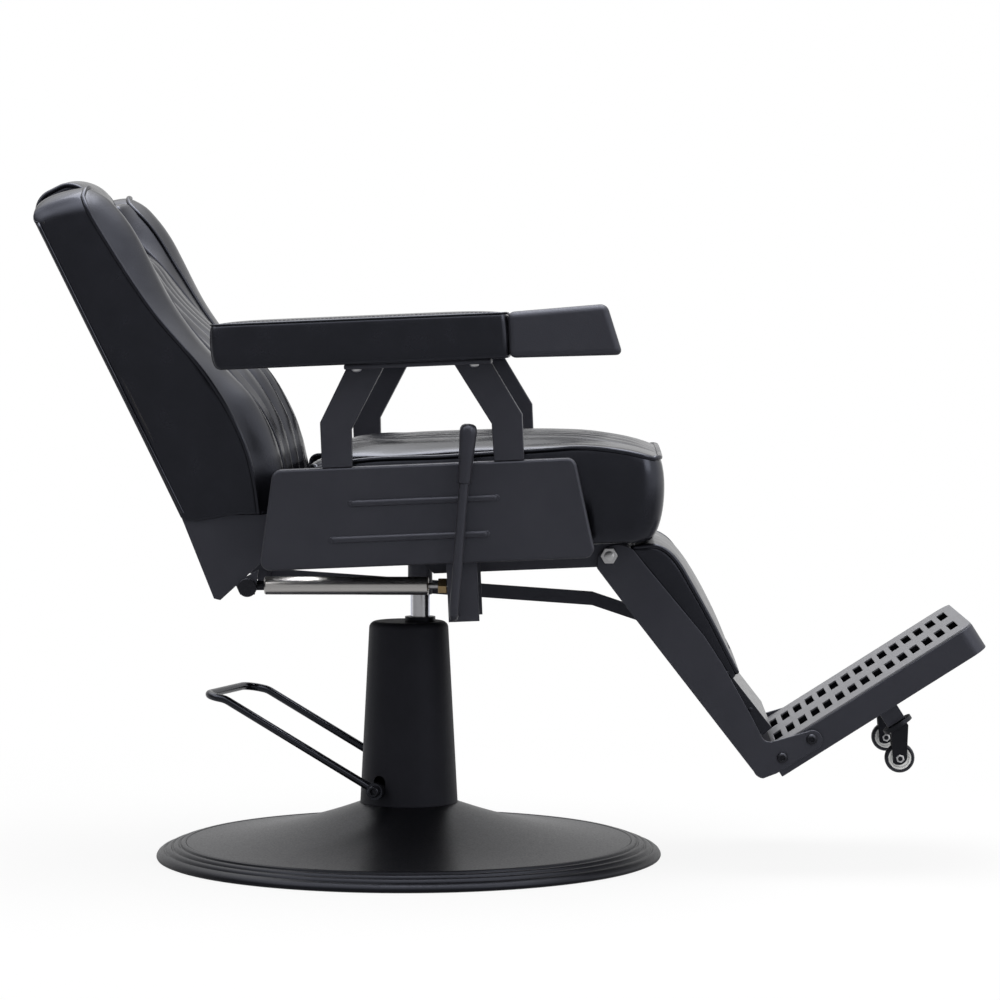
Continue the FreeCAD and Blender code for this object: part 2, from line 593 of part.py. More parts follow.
def new_sketch(body, role, offset=0):
    """Attach a sketch to one of the body's own origin planes, at an offset from it."""
    plane = [feature for feature in body.Origin.OriginFeatures if feature.Role == role][0]
    sketch = body.newObject("Sketcher::SketchObject", f"{body.Name}_outline")
    sketch.AttachmentSupport = [(plane, "")]
    sketch.MapMode = "FlatFace"
    bind(sketch, "AttachmentOffset.Base.z", offset)
    return sketch


def hold(sketch, kind, first, size):
    """Add one sized constraint to a sketch and tie it to the sheet."""
    size = size_of(size)
    index = sketch.addConstraint(Sketcher.Constraint(kind, *first, size.value))
    sketch.setExpression(f"Constraints[{index}]", size.text)


def arc_between(start, end, radius):
    """Give the arc from start to end, its middle on the left of the way for a positive radius."""
    chord = end - start
    height = math.sqrt(radius ** 2 - (chord.Length / 2) ** 2)
    left = Vector(-chord.y, chord.x, 0).normalize()
    middle = (start + end) / 2 + left * math.copysign(height, radius)
    first, last = (start, end) if radius > 0 else (end, start)
    begin = math.atan2(first.y - middle.y, first.x - middle.x)
    stop = math.atan2(last.y - middle.y, last.x - middle.x)
    return Part.ArcOfCircle(Part.Circle(middle, Vector(0, 0, 1), abs(radius)), begin, stop)


def draw(sketch, corners, arcs=None):
    """Draw a closed outline through corners; arcs gives a signed radius for some of its sides."""
    arcs = arcs or {}
    corners = [(size_of(x), size_of(y)) for x, y in corners]
    points = [Vector(x.value, y.value, 0) for x, y in corners]
    start = sketch.GeometryCount
    ends = []
    for index, point in enumerate(points):
        following = points[(index + 1) % len(points)]
        if index in arcs:
            radius = size_of(arcs[index])
            sketch.addGeometry(arc_between(point, following, radius.value), False)
            ends.append((1, 2) if radius.value > 0 else (2, 1))
        else:
            sketch.addGeometry(Part.LineSegment(point, following), False)
            ends.append((1, 2))
    for index in range(len(points)):
        after = (index + 1) % len(points)
        joint = (start + index, ends[index][1], start + after, ends[after][0])
        sketch.addConstraint(Sketcher.Constraint("Coincident", *joint))
    for index, (x, y) in enumerate(corners):
        hold(sketch, "DistanceX", (-1, 1, start + index, ends[index][0]), x)
        hold(sketch, "DistanceY", (-1, 1, start + index, ends[index][0]), y)
    for index, radius in arcs.items():
        radius = size_of(radius)
        hold(sketch, "Radius", (start + index,), radius if radius.value > 0 else -radius)


def draw_circle(sketch, x, y, radius):
    """Draw a circle at a sized place."""
    x, y, radius = size_of(x), size_of(y), size_of(radius)
    circle = Part.Circle(Vector(x.value, y.value, 0), Vector(0, 0, 1), radius.value)
    index = sketch.addGeometry(circle, False)
    hold(sketch, "DistanceX", (-1, 1, index, 3), x)
    hold(sketch, "DistanceY", (-1, 1, index, 3), y)
    hold(sketch, "Radius", (index,), radius)


def rectangle(left, bottom, right, top):
    """Give the corners of an upright rectangle."""
    return [(left, bottom), (right, bottom), (right, top), (left, top)]


def slot_outline(left, right, middle, half):
    """Give the corners and arcs of a lying slot with round ends."""
    corners = rectangle(left, middle - half, right, middle + half)
    return corners, {1: half * d.slot_arc, 3: half * d.slot_arc}


def pad(body, sketch, length, symmetric=True, reverse=False):
    """Extrude a sketch, to both sides of its plane or to one."""
    feature = body.newObject("PartDesign::Pad", f"{body.Name}_pad")
    feature.Profile = sketch
    feature.SideType = "Symmetric" if symmetric else "One side"
    feature.Reversed = reverse
    bind(feature, "Length", length)
    doc.recompute()
    return feature


def cut_through(body, sketch):
    """Cut a sketch's outline through the whole body, both ways."""
    before = body.Shape.Volume
    feature = body.newObject("PartDesign::Pocket", f"{body.Name}_hole")
    feature.Profile = sketch
    feature.Type = "ThroughAll"
    feature.SideType = "Symmetric"
    doc.recompute()
    if body.Shape.Volume >= before:
        raise RuntimeError(f"{body.Label}: a cut removed nothing")


def cut_depth(body, sketch, depth, reverse=False):
    """Cut a sketch's outline into the body to a depth."""
    before = body.Shape.Volume
    feature = body.newObject("PartDesign::Pocket", f"{body.Name}_pocket")
    feature.Profile = sketch
    feature.Reversed = reverse
    bind(feature, "Length", depth)
    doc.recompute()
    if body.Shape.Volume >= before:
        raise RuntimeError(f"{body.Label}: a pocket removed nothing")


def bore(body, role, places, radius):
    """Drill round holes through the body, square to one of its planes."""
    sketch = new_sketch(body, role)
    for x, y in places:
        draw_circle(sketch, x, y, radius)
    cut_through(body, sketch)


def revolve(body, corners, arcs=None, axis="V_Axis"):
    """Turn an outline in the XZ plane about the body's Z axis, or about its X axis."""
    sketch = new_sketch(body, "XZ_Plane")
    draw(sketch, corners, arcs)
    feature = body.newObject("PartDesign::Revolution", f"{body.Name}_turn")
    feature.Profile = sketch
    feature.ReferenceAxis = (sketch, [axis])
    feature.Angle = 360
    doc.recompute()
    return feature


def round_edges(body, radius, chosen):
    """Fillet the edges of the body's last feature that the chosen test picks."""
    tip = body.Tip
    names = [f"Edge{n}" for n, edge in enumerate(tip.Shape.Edges, start=1) if chosen(edge)]
    feature = body.newObject("PartDesign::Fillet", f"{body.Name}_round")
    feature.Base = (tip, names)
    bind(feature, "Radius", radius)
    doc.recompute()


def shell(body, wall, chosen):
    """Hollow the body out to a wall, open at the faces that the chosen test picks."""
    tip = body.Tip
    names = [f"Face{n}" for n, face in enumerate(tip.Shape.Faces, start=1) if chosen(face)]
    feature = body.newObject("PartDesign::Thickness", f"{body.Name}_shell")
    feature.Base = (tip, names)
    feature.Reversed = True
    bind(feature, "Value", wall)
    doc.recompute()


def along(edge, axis):
    """Tell whether an edge is straight and runs along an axis of its body."""
    if edge.Curve.TypeId != "Part::GeomLine":
        return False
    return abs(abs(edge.Curve.Direction.dot(axis)) - 1) < 1e-6


def faces_way(face, way):
    """Tell whether a flat face looks a given way."""
    if face.Surface.TypeId != "Part::GeomPlane":
        return False
    return face.normalAt(0, 0).dot(way) > 0.999


def side_plate(label, frame, outline, thickness, y, arcs=None):
    """Make a plate from its side outline, with its middle plane at y."""
    body = new_body(label)
    sketch = new_sketch(body, "XZ_Plane")
    draw(sketch, outline, arcs)
    pad(body, sketch, thickness)
    place(body, frame, y)
    return body


def bent_rod(points, bends, radius):
    """Sweep a round rod along straight runs joined by tangent arcs, one bend radius per inner point."""
    edges = []
    start = points[0]
    for before, corner, after, bend in zip(points, points[1:], points[2:], bends):
        inward = (before - corner).normalize()
        outward = (after - corner).normalize()
        half = (inward.getAngle(outward)) / 2
        reach = bend / math.tan(half)
        first = corner + inward * reach
        last = corner + outward * reach
        bisector = (inward + outward).normalize()
        middle = corner + bisector * (bend / math.sin(half) - bend)
        edges.append(Part.LineSegment(start, first).toShape())
        edges.append(Part.Arc(first, middle, last).toShape())
        start = last
    edges.append(Part.LineSegment(start, points[-1]).toShape())
    path = Part.Wire(edges)
    direction = (points[1] - points[0]).normalize()
    section = Part.Wire(Part.Circle(points[0], direction, radius).toShape())
    return path.makePipeShell([section], True, False)


def section_wire(runs, y):
    """Make one closed section at y from runs of 2 points for a line or 3 for an arc, given as x and z."""
    edges = []
    for run in runs:
        points = [Vector(x, y, z) for x, z in run]
        if len(points) == 2:
            edges.append(Part.LineSegment(*points).toShape())
        else:
            edges.append(Part.Arc(*points).toShape())
    return Part.Wire(edges)


def cushion(label, frame, sections):
    """Loft a cushion through its sections, each a place across the chair and its runs."""
    wires = [section_wire(runs, y) for y, runs in sections]
    solid = new_solid(label, Part.makeLoft(wires, True, True))
    place(solid, frame)
    return solid


def mirrored(half_sections):
    """Complete sections that are given from one side to the middle."""
    far_side = [(-y, runs) for y, runs in reversed(half_sections) if y]
    return half_sections + far_side


def edge_fall(share):
    """Give how much of an edge's full drop is left at a share of its round, on a quarter circle."""
    return 1 - math.sqrt(1 - (1 - share) ** 2)


def corner_middle(outer, inner):
    """Give the middle of a quarter round that starts level at inner and ends upright at outer."""
    drawn_in = 1 - math.sqrt(0.5)
    x = outer[0] + (inner[0] - outer[0]) * drawn_in
    z = inner[1] + (outer[1] - inner[1]) * drawn_in
    return (x, z)


# The floor plate: a flat steel disc that the whole chair stands on.
floor_plate = doc.addObject("Part::Cylinder", "base_plate")
floor_plate.Label = "base_plate"
bind(floor_plate, "Radius", d.rim_inner - d.floor_plate_gap)
bind(floor_plate, "Height", d.floor_plate_height)
parts.append(floor_plate)

# The rim: a ring with concentric ridges that step up to the cover.
rim = new_body("base_rim")
ridge_width = (d.rim_radius - d.rim_inner) / d.rim_ridges
ridge = [
    (d.rim_inner, 0),
    (d.rim_radius - d.rim_chamfer, 0),
    (d.rim_radius, d.rim_chamfer),
    (d.rim_radius, d.rim_height - d.rim_step * d.rim_ridges),
]
for step in range(1, int(d.rim_ridges.value)):
    edge = d.rim_radius - ridge_width * step
    shoulder = d.rim_height - d.rim_step * (d.rim_ridges - step)
    ridge.append((edge + d.ridge_slope, shoulder - d.ridge_drop))
    ridge.append((edge, shoulder))
ridge.append((d.rim_inner, d.rim_height))
revolve(rim, ridge)

# The cover: a trumpet-shaped pressing from the rim up to the column.
cover = new_body("base_cover")
trumpet = [
    (d.rim_inner, d.rim_height - d.cover_wall),
    (d.rim_inner, d.rim_height),
    (d.shroud_base, d.shroud_foot),
    (d.shroud_base, d.shroud_foot - d.cover_wall),
]
revolve(cover, trumpet, {1: -d.cover_arc, 3: d.cover_arc})

# The pump: a block on a foot flange, a cylinder for the piston and a gland on its top.
pump = new_body("pump_casing")
foot = new_sketch(pump, "XY_Plane", d.floor_plate_height)
draw(foot, rectangle(-d.flange_half, -d.flange_half_width, d.flange_half, d.flange_half_width))
pad(pump, foot, d.flange_top - d.floor_plate_height, symmetric=False)
block = new_sketch(pump, "XY_Plane", d.floor_plate_height)
draw(block, rectangle(-d.block_rear, -d.block_half, d.block_front, d.block_half))
pad(pump, block, d.block_top - d.floor_plate_height, symmetric=False)
yaw_cosine = math.cos(math.radians(d.pump_yaw.value))
yaw_sine = math.sin(math.radians(d.pump_yaw.value))
piston_place = (d.piston_x * yaw_cosine, d.piston_x * yaw_sine)
for radius, top in ((d.pump_radius, d.pump_top), (d.gland_radius, d.gland_top)):
    cylinder = new_sketch(pump, "XY_Plane", d.floor_plate_height)
    draw_circle(cylinder, *piston_place, radius)
    pad(pump, cylinder, top - d.floor_plate_height, symmetric=False)
piston_bore = new_sketch(pump, "XY_Plane", d.gland_top)
draw_circle(piston_bore, *piston_place, d.piston_radius + d.running_gap)
cut_depth(pump, piston_bore, d.gland_top - d.flange_top)
bore(pump, "XZ_Plane", [(-d.shaft_back, d.shaft_height)], d.shaft_radius + d.running_gap)
yaw(pump)

# The shroud: a tapered cover with a round top edge, a piston hole and the pedal's two slots.
shroud = new_body("column_shroud")
skin = [
    (d.shroud_base - d.shroud_wall, d.shroud_foot),
    (d.shroud_base, d.shroud_foot),
    (d.shroud_top, d.shroud_height - d.shroud_round),
    (d.shroud_top - d.shroud_round, d.shroud_height),
    (0, d.shroud_height),
    (0, d.shroud_height - d.shroud_wall),
    (d.shroud_top - d.shroud_round, d.shroud_height - d.shroud_wall),
    (d.shroud_top - d.shroud_wall, d.shroud_height - d.shroud_round),
]
revolve(shroud, skin, {2: d.shroud_round})
bore(shroud, "XY_Plane", [piston_place], d.gland_radius + d.loose_gap)
pedal_slot = new_sketch(shroud, "XZ_Plane")
half_slot = d.slot_width / 2
slot_sides = rectangle(
    -d.shaft_back - half_slot, d.slot_bottom + half_slot, -d.shaft_back + half_slot, d.slot_top - half_slot
)
draw(pedal_slot, slot_sides, {0: half_slot * d.slot_arc, 2: half_slot * d.slot_arc})
cut_through(shroud, pedal_slot)
yaw(shroud)

# The pedal: a rod bent to a loop, with an eye on each end, on a cross shaft held by socket bolts.
knee_height = d.shaft_height.value + (d.loop_knee - d.shaft_back).value * math.tan(math.radians(d.loop_rise.value))
loop_side = [
    (-d.shaft_back.value, d.shaft_height.value),
    (-d.loop_knee.value, knee_height),
    (-d.loop_end.value, knee_height + d.loop_tip.value),
]
near_arm = [Vector(x, -d.loop_half.value, z) for x, z in loop_side]
far_arm = [Vector(x, d.loop_half.value, z) for x, z in reversed(loop_side)]
bends = [d.loop_gentle.value, d.loop_bend.value, d.loop_bend.value, d.loop_gentle.value]
loop = bent_rod(near_arm + far_arm, bends, d.loop_rod.value)
shaft_axis = Vector(-d.shaft_back.value, 0, d.shaft_height.value)
for sign in (1, -1):
    eye_start = shaft_axis + Vector(0, sign * d.loop_half.value - d.eye_half.value, 0)
    eye = Part.makeCylinder(d.eye_radius.value, 2 * d.eye_half.value, eye_start, Vector(0, 1, 0))
    loop = loop.fuse(eye)
hole_radius = (d.shaft_radius + d.running_gap).value
shaft_hole = Part.makeCylinder(
    hole_radius, 4 * d.shaft_half.value, shaft_axis - Vector(0, 2 * d.shaft_half.value, 0), Vector(0, 1, 0)
)
yaw(new_solid("pedal_loop", loop.cut(shaft_hole).removeSplitter()))

shaft = new_body("pedal_shaft")
shaft_round = new_sketch(shaft, "XZ_Plane")
draw_circle(shaft_round, -d.shaft_back, d.shaft_height, d.shaft_radius)
pad(shaft, shaft_round, d.shaft_half * 2)
yaw(shaft)

heads = []
for sign in (1, -1):
    start = shaft_axis + Vector(0, sign * d.shaft_half.value, 0)
    heads.append(Part.makeCylinder(d.bolt_head.value, d.bolt_head_height.value, start, Vector(0, sign, 0)))
yaw(new_solid("pedal_bolts", Part.makeCompound(heads)))

# The piston: a chromed rod with a chamfered head, which lifts and carries the seat.
piston = new_body("piston_rod")
rod = [
    (0, d.piston_foot),
    (d.piston_radius, d.piston_foot),
    (d.piston_radius, d.piston_top - d.piston_chamfer),
    (d.piston_radius - d.piston_chamfer, d.piston_top),
    (0, d.piston_top),
]
revolve(piston, rod)
place(piston, (d.piston_x, ZERO, ZERO))

# The hub: a sleeve that turns on the piston, with a flange under the seat's mount plate.
hub = new_body("swivel_hub")
sleeve = [
    (d.piston_radius + d.running_gap, d.hub_foot),
    (d.hub_radius, d.hub_foot),
    (d.hub_radius, d.seat_height - d.hub_flange_height),
    (d.hub_flange, d.seat_height - d.hub_flange_height),
    (d.hub_flange, d.seat_height - d.hub_gap),
    (d.piston_radius + d.running_gap, d.seat_height - d.hub_gap),
]
revolve(hub, sleeve)
place(hub, (d.piston_x, ZERO, ZERO))

mount_plate = new_body("mount_plate")
plate_plan = new_sketch(mount_plate, "XY_Plane")
draw(plate_plan, rectangle(-d.plate_rear, -d.rail_inner, d.plate_front, d.rail_inner))
pad(mount_plate, plate_plan, d.plate_thickness, symmetric=False)
place(mount_plate, SEAT)

# The seat frame: two deep-fronted rails, two cross tubes on them and a plywood board.
def in_seat(x, z):
    """Turn a place given from the floor into the seat's own frame."""
    back_turn = FreeCAD.Rotation(Vector(0, 1, 0), d.seat_tilt.value)
    return back_turn.multVec(Vector(x.value, 0, (z - d.seat_height).value))


knee_in_seat = in_seat(d.knee_x, d.knee_z)
for side, sign in SIDES:
    rail_outline = [
        (-d.rail_rear, -d.rail_shallow),
        (d.rail_step, -d.rail_shallow),
        (d.rail_step + (d.rail_deep - d.rail_shallow), -d.rail_deep),
        (d.rail_front, -d.rail_deep),
        (d.rail_front, d.rail_top),
        (-d.rail_rear, d.rail_top),
    ]
    rail = side_plate(
        f"frame_rail_{side}", SEAT, rail_outline, d.rail_width, (d.rail_inner + d.rail_width / 2) * sign
    )
    bore(rail, "XZ_Plane", [(knee_in_seat.x, knee_in_seat.z)], d.knee_bolt + d.running_gap)

for place_name, middle in (("rear", -d.cross_rear), ("front", d.cross_front)):
    tube = new_body(f"frame_cross_{place_name}")
    tube_section = new_sketch(tube, "XZ_Plane")
    top = d.rail_top + d.tube_height
    draw(tube_section, rectangle(middle - d.tube_half, d.rail_top, middle + d.tube_half, top))
    inner_half = d.tube_half - d.tube_wall
    draw(
        tube_section,
        rectangle(middle - inner_half, d.rail_top + d.tube_wall, middle + inner_half, top - d.tube_wall),
    )
    pad(tube, tube_section, (d.panel_face - d.panel_wall) * 2)
    place(tube, SEAT)

board_foot = d.rail_top + d.tube_height
side_plate(
    "seat_board",
    SEAT,
    rectangle(-d.board_rear, board_foot, d.board_front, board_foot + d.board_thickness),
    d.board_half * 2,
    0,
)


# The seat cushion: a crowned pad with sewn channels and a roll over the frame's front edge.
def seat_section(drop, inset):
    """Give the side outline of the seat cushion, its top dropped and its ends drawn in."""
    rear = -d.seat_rear.value + inset
    tail = d.seat_tail.value - drop
    crown = (d.seat_crown_x.value, d.seat_crown.value - drop)
    brow = (d.seat_brow.value - inset, d.seat_brow_height.value - drop * d.seat_brow_share.value)
    nose = (d.seat_nose.value - inset, d.seat_nose_height.value - drop / 2)
    sole = d.seat_sole.value
    lip = d.seat_lip.value
    lean = d.seat_lean.value
    roll_rear = d.seat_lip_rear.value
    roll_front = d.seat_lip_front.value - inset
    tail_top = (rear + d.seat_tail_round.value, tail)
    tail_foot = (rear, tail - d.seat_tail_drop.value)
    middle = (crown[0] / 2, (crown[1] + tail) / 2 + d.seat_bow.value)
    forehead = (brow[0] - d.seat_brow_round.value, (brow[1] + crown[1]) / 2 + d.seat_brow_bow.value)
    return [
        [(rear + lean, sole), (roll_rear, sole)],
        [(roll_rear, sole), (roll_rear + lean, lip)],
        [(roll_rear + lean, lip), (roll_front, lip)],
        [(roll_front, lip), nose, brow],
        [brow, forehead, crown],
        [crown, middle, tail_top],
        [tail_top, corner_middle(tail_foot, tail_top), tail_foot],
        [tail_foot, (rear + lean, sole)],
    ]


seat_sections = []
for share in EDGE_STEPS:
    fall = edge_fall(share)
    edge_section = seat_section(d.seat_edge_drop.value * fall, d.seat_edge_inset.value * fall)
    seat_sections.append((share * d.seat_edge.value - d.seat_half.value, edge_section))
seams = int(d.seat_seams.value)
outer_seam = seams * d.seat_channel.value
seat_sections.append((-outer_seam - d.seam_reach.value, seat_section(d.seam_dip.value, 0)))
for step in range(seams, -1, -1):
    depth = d.channel_depth.value if step % 2 else 0
    seat_sections.append((-step * d.seat_channel.value, seat_section(depth, 0)))
cushion("seat_cushion", SEAT, mirrored(seat_sections))

# The side panels: pressed trays with round corners and two beads on their outer face.
across = Vector(0, 1, 0)
panel_outline = [
    (-d.panel_rear_foot, 0),
    (d.panel_front_foot, 0),
    (d.panel_front_top, d.panel_height),
    (-d.panel_rear_top, d.panel_height),
]
for side, sign in SIDES:
    panel = side_plate(
        f"side_panel_{side}", SEAT, panel_outline, d.panel_depth, (d.panel_face - d.panel_depth / 2) * sign
    )
    round_edges(panel, d.panel_corner, lambda edge: along(edge, across))
    outer_face = [face for face in panel.Tip.Shape.Faces if faces_way(face, across * sign)][0]
    rim_edges = [edge.CenterOfMass for edge in outer_face.Edges]
    round_edges(
        panel,
        d.panel_edge,
        lambda edge: any(edge.CenterOfMass.isEqual(point, 1e-4) for point in rim_edges),
    )
    shell(panel, d.panel_wall, lambda face: faces_way(face, across * -sign))
    beads = new_sketch(panel, "XZ_Plane", (d.panel_depth / 2 - d.panel_wall) * -sign)
    for rear, front, height in (
        (-d.bead_upper_rear, d.bead_upper_front, d.bead_upper),
        (-d.bead_lower_rear, d.bead_lower_front, d.bead_lower),
    ):
        draw(beads, *slot_outline(rear, front, height, d.bead_half))
    pad(panel, beads, d.panel_wall + d.bead_rise, symmetric=False, reverse=sign > 0)

# The arms: two kneed posts a side, a leather pad on them and a moulded hand rest in front.
rear_post = [
    (-d.post_rear, d.panel_height),
    (-d.post_rear + d.post_width, d.panel_height),
    (-d.post_rear + d.post_width + d.post_flare, d.post_knee_inner),
    (-d.post_rear + d.post_lean + d.post_head, d.pad_foot),
    (-d.post_rear + d.post_lean, d.pad_foot),
    (-d.post_rear, d.post_knee_outer),
]
front_post = [
    (d.post_front - d.post_width, d.panel_height),
    (d.post_front, d.panel_height),
    (d.post_front, d.post_knee_outer),
    (d.post_front - d.post_lean, d.pad_foot),
    (d.post_front - d.post_lean - d.post_head, d.pad_foot),
    (d.post_front - d.post_width - d.post_flare, d.post_knee_inner),
]
post_middle = d.panel_face - d.post_thickness / 2 - d.post_inset
for side, sign in SIDES:
    side_plate(f"arm_post_rear_{side}", SEAT, rear_post, d.post_thickness, post_middle * sign)
    side_plate(f"arm_post_front_{side}", SEAT, front_post, d.post_thickness, post_middle * sign)


def arm_section(x, middle, draw_in, height, crown):
    """Give one cross section of an arm pad at x: flat below, drawn in at the sides, crowned on top."""
    half = d.pad_half.value - draw_in
    waist = half - d.pad_waist.value
    corner = d.pad_corner.value
    top_half = half - d.pad_edge.value
    foot = d.pad_foot.value
    shoulder = foot + height
    runs = [
        [(-half + corner, foot), (half - corner, foot)],
        [(half - corner, foot), (half, foot + corner)],
        [(half, foot + corner), (waist, foot + height / 2), (half, shoulder - corner)],
        [(half, shoulder - corner), (top_half, shoulder)],
        [(top_half, shoulder), (0, shoulder + crown), (-top_half, shoulder)],
        [(-top_half, shoulder), (-half, shoulder - corner)],
        [(-half, shoulder - corner), (-waist, foot + height / 2), (-half, foot + corner)],
        [(-half, foot + corner), (-half + corner, foot)],
    ]
    edges = []
    for run in runs:
        points = [Vector(x, middle + y, z) for y, z in run]
        curve = Part.LineSegment(*points) if len(points) == 2 else Part.Arc(*points)
        edges.append(curve.toShape())
    return Part.Wire(edges)


def arm_end(tip, reach, middle, draw_in, drop, height):
    """Give the sections of an arm's rounded end, from its tip inwards."""
    sections = []
    for share in EDGE_STEPS:
        fall = edge_fall(share)
        crown = d.pad_crown.value - d.pad_flat.value * fall
        sections.append(arm_section(tip + share * reach, middle, draw_in * fall, height - drop * fall, crown))
    return sections


for side, sign in SIDES:
    middle = d.pad_middle.value * sign
    seam = d.pad_seam.value
    gap = d.loose_gap.value
    height = d.pad_side.value
    butt = d.pad_butt.value
    butt_in = d.pad_butt_in.value
    leather = arm_end(-d.pad_rear.value, d.pad_end.value, middle, d.pad_end_in.value, d.pad_end_drop.value, height)
    leather += reversed(arm_end(seam - gap, -butt, middle, butt_in, butt_in, height))
    place(new_solid(f"arm_pad_{side}", Part.makeLoft(leather, True, True)), SEAT)
    nose_height = height + d.grip_rise.value
    moulded = arm_end(seam + gap, butt, middle, butt_in, butt_in, height)
    moulded += reversed(arm_end(
        d.pad_nose.value, -d.grip_round.value, middle, d.grip_nose_in.value, d.grip_nose_drop.value, nose_height
    ))
    place(new_solid(f"arm_grip_{side}", Part.makeLoft(moulded, True, True)), SEAT)

# The lock bracket: a folded sheet under the right panel that holds the lock and the lever's shaft.
bracket = new_body("lock_bracket")
fold = new_sketch(bracket, "XY_Plane", -d.bracket_depth)
bracket_plan = [
    (d.bracket_rear, -d.bracket_outer),
    (d.bracket_front, -d.bracket_outer),
    (d.bracket_front, -d.bracket_outer + d.bracket_sheet),
    (d.bracket_rear + d.bracket_sheet, -d.bracket_outer + d.bracket_sheet),
    (d.bracket_rear + d.bracket_sheet, -d.bracket_ear),
    (d.bracket_front, -d.bracket_ear),
    (d.bracket_front, -d.bracket_ear + d.bracket_sheet),
    (d.bracket_rear + d.bracket_sheet, -d.bracket_ear + d.bracket_sheet),
    (d.bracket_rear + d.bracket_sheet, -d.rail_inner - d.rail_width),
    (d.bracket_rear, -d.rail_inner - d.rail_width),
]
draw(fold, bracket_plan)
pad(bracket, fold, d.bracket_depth, symmetric=False)
lever_axis = in_seat(d.lever_x, d.lever_height)
lock_axis = in_seat(d.lock_pivot_x, d.lock_height)
lever_hole = new_sketch(bracket, "XZ_Plane", d.lever_inner)
draw_circle(lever_hole, lever_axis.x, lever_axis.z, d.lever_radius + d.running_gap)
cut_depth(bracket, lever_hole, d.bracket_outer - d.lever_inner + d.cut_over, reverse=True)
rod_hole = new_sketch(bracket, "YZ_Plane", d.bracket_rear - d.cut_over)
draw_circle(rod_hole, -d.lock_y, lock_axis.z, d.rod_hole)
cut_depth(bracket, rod_hole, d.bracket_sheet + d.cut_over * 2, reverse=True)
stud = new_sketch(bracket, "XZ_Plane", d.bracket_ear - d.bracket_sheet)
draw_circle(stud, lock_axis.x, lock_axis.z, d.lock_rod_radius)
pad(bracket, stud, d.lock_y + d.lock_eye_half + d.stud_over - d.bracket_ear + d.bracket_sheet, symmetric=False)
place(bracket, SEAT)

# The recline pins stand on the panels, and the leg rest's bolts go through plate and rail.
pins = []
for side, sign in SIDES:
    start = Vector(d.pivot_x.value, sign * (d.panel_face - d.panel_wall).value, d.pivot_z.value)
    length = (d.panel_face - d.panel_wall - d.ear_face + d.ear_sheet + d.pin_over).value
    pins.append(Part.makeCylinder(d.pivot_radius.value, length, start, Vector(0, -sign, 0)))
place(new_solid("back_pivot_pins", Part.makeCompound(pins)), FLOOR)

bolts = []
for side, sign in SIDES:
    start = Vector(d.knee_x.value, sign * d.rail_inner.value, d.knee_z.value)
    length = (d.shin_face - d.rail_inner + d.loose_gap).value
    shank = Part.makeCylinder(d.knee_bolt.value, length, start, Vector(0, sign, 0))
    hexagon = Part.makePolygon([
        Vector(
            d.knee_x.value + d.knee_head.value * math.cos(math.radians(60 * corner)),
            start.y + sign * length,
            d.knee_z.value + d.knee_head.value * math.sin(math.radians(60 * corner)),
        )
        for corner in range(7)
    ])
    head = Part.Face(hexagon).extrude(Vector(0, sign * d.knee_head_height.value, 0))
    bolts.append(shank.fuse(head))
place(new_solid("leg_pivot_bolts", Part.makeCompound(bolts)), FLOOR)

# The lever: a rod bent out of its cross shaft, with a tapered grip on its end.
lever_points = [
    Vector(d.lever_x.value, -d.lever_inner.value, d.lever_height.value),
    Vector(d.lever_x.value, -d.lever_face.value, d.lever_height.value),
    Vector(d.lever_top_x.value, -d.lever_face.value, d.lever_top.value),
]
lever = bent_rod(lever_points, [d.lever_bend.value], d.lever_radius.value)
place(new_solid("lever_rod", lever), FLOOR)

grip = new_body("lever_grip")
knob = [
    (0, 0),
    (d.knob_foot, 0),
    (d.knob_head, d.knob_length - d.knob_dome),
    (d.knob_flat, d.knob_length),
    (0, d.knob_length),
]
revolve(grip, knob, {2: d.knob_round})
lever_tilt = math.degrees(math.atan2((d.lever_top_x - d.lever_x).value, (d.lever_top - d.lever_height).value))
grip.Placement = FreeCAD.Placement(lever_points[-1], FreeCAD.Rotation(Vector(0, 1, 0), lever_tilt))

# The recline lock: a steel tube with an eye at its rear, and a rod with a brass nut and an eye.
lock_frame = (ZERO, d.lock_height, ZERO)
tube = new_body("lock_tube")
barrel = [
    (d.lock_rear, 0),
    (d.lock_rear, d.lock_radius - d.lock_chamfer),
    (d.lock_rear + d.lock_chamfer, d.lock_radius),
    (d.lock_front - d.lock_chamfer, d.lock_radius),
    (d.lock_front, d.lock_radius - d.lock_chamfer),
    (d.lock_front, d.lock_rod_radius + d.running_gap),
    (d.lock_front - d.lock_gland, d.lock_rod_radius + d.running_gap),
    (d.lock_front - d.lock_gland, d.lock_bore),
    (d.lock_rear + d.lock_cap, d.lock_bore),
    (d.lock_rear + d.lock_cap, 0),
]
revolve(tube, barrel, axis="H_Axis")
place(tube, lock_frame, -d.lock_y)

eye = new_body("lock_eye")
neck = [
    (d.lock_eye_x, 0),
    (d.lock_eye_x, d.lock_neck),
    (d.lock_rear, d.lock_neck),
    (d.lock_rear, 0),
]
revolve(eye, neck, axis="H_Axis")
ring = new_sketch(eye, "XZ_Plane")
draw_circle(ring, d.lock_eye_x, 0, d.lock_eye_radius)
pad(eye, ring, d.lock_eye_half * 2)
bore(eye, "XZ_Plane", [(d.lock_eye_x, 0)], d.lock_pin + d.open_gap)
place(eye, lock_frame, -d.lock_y)

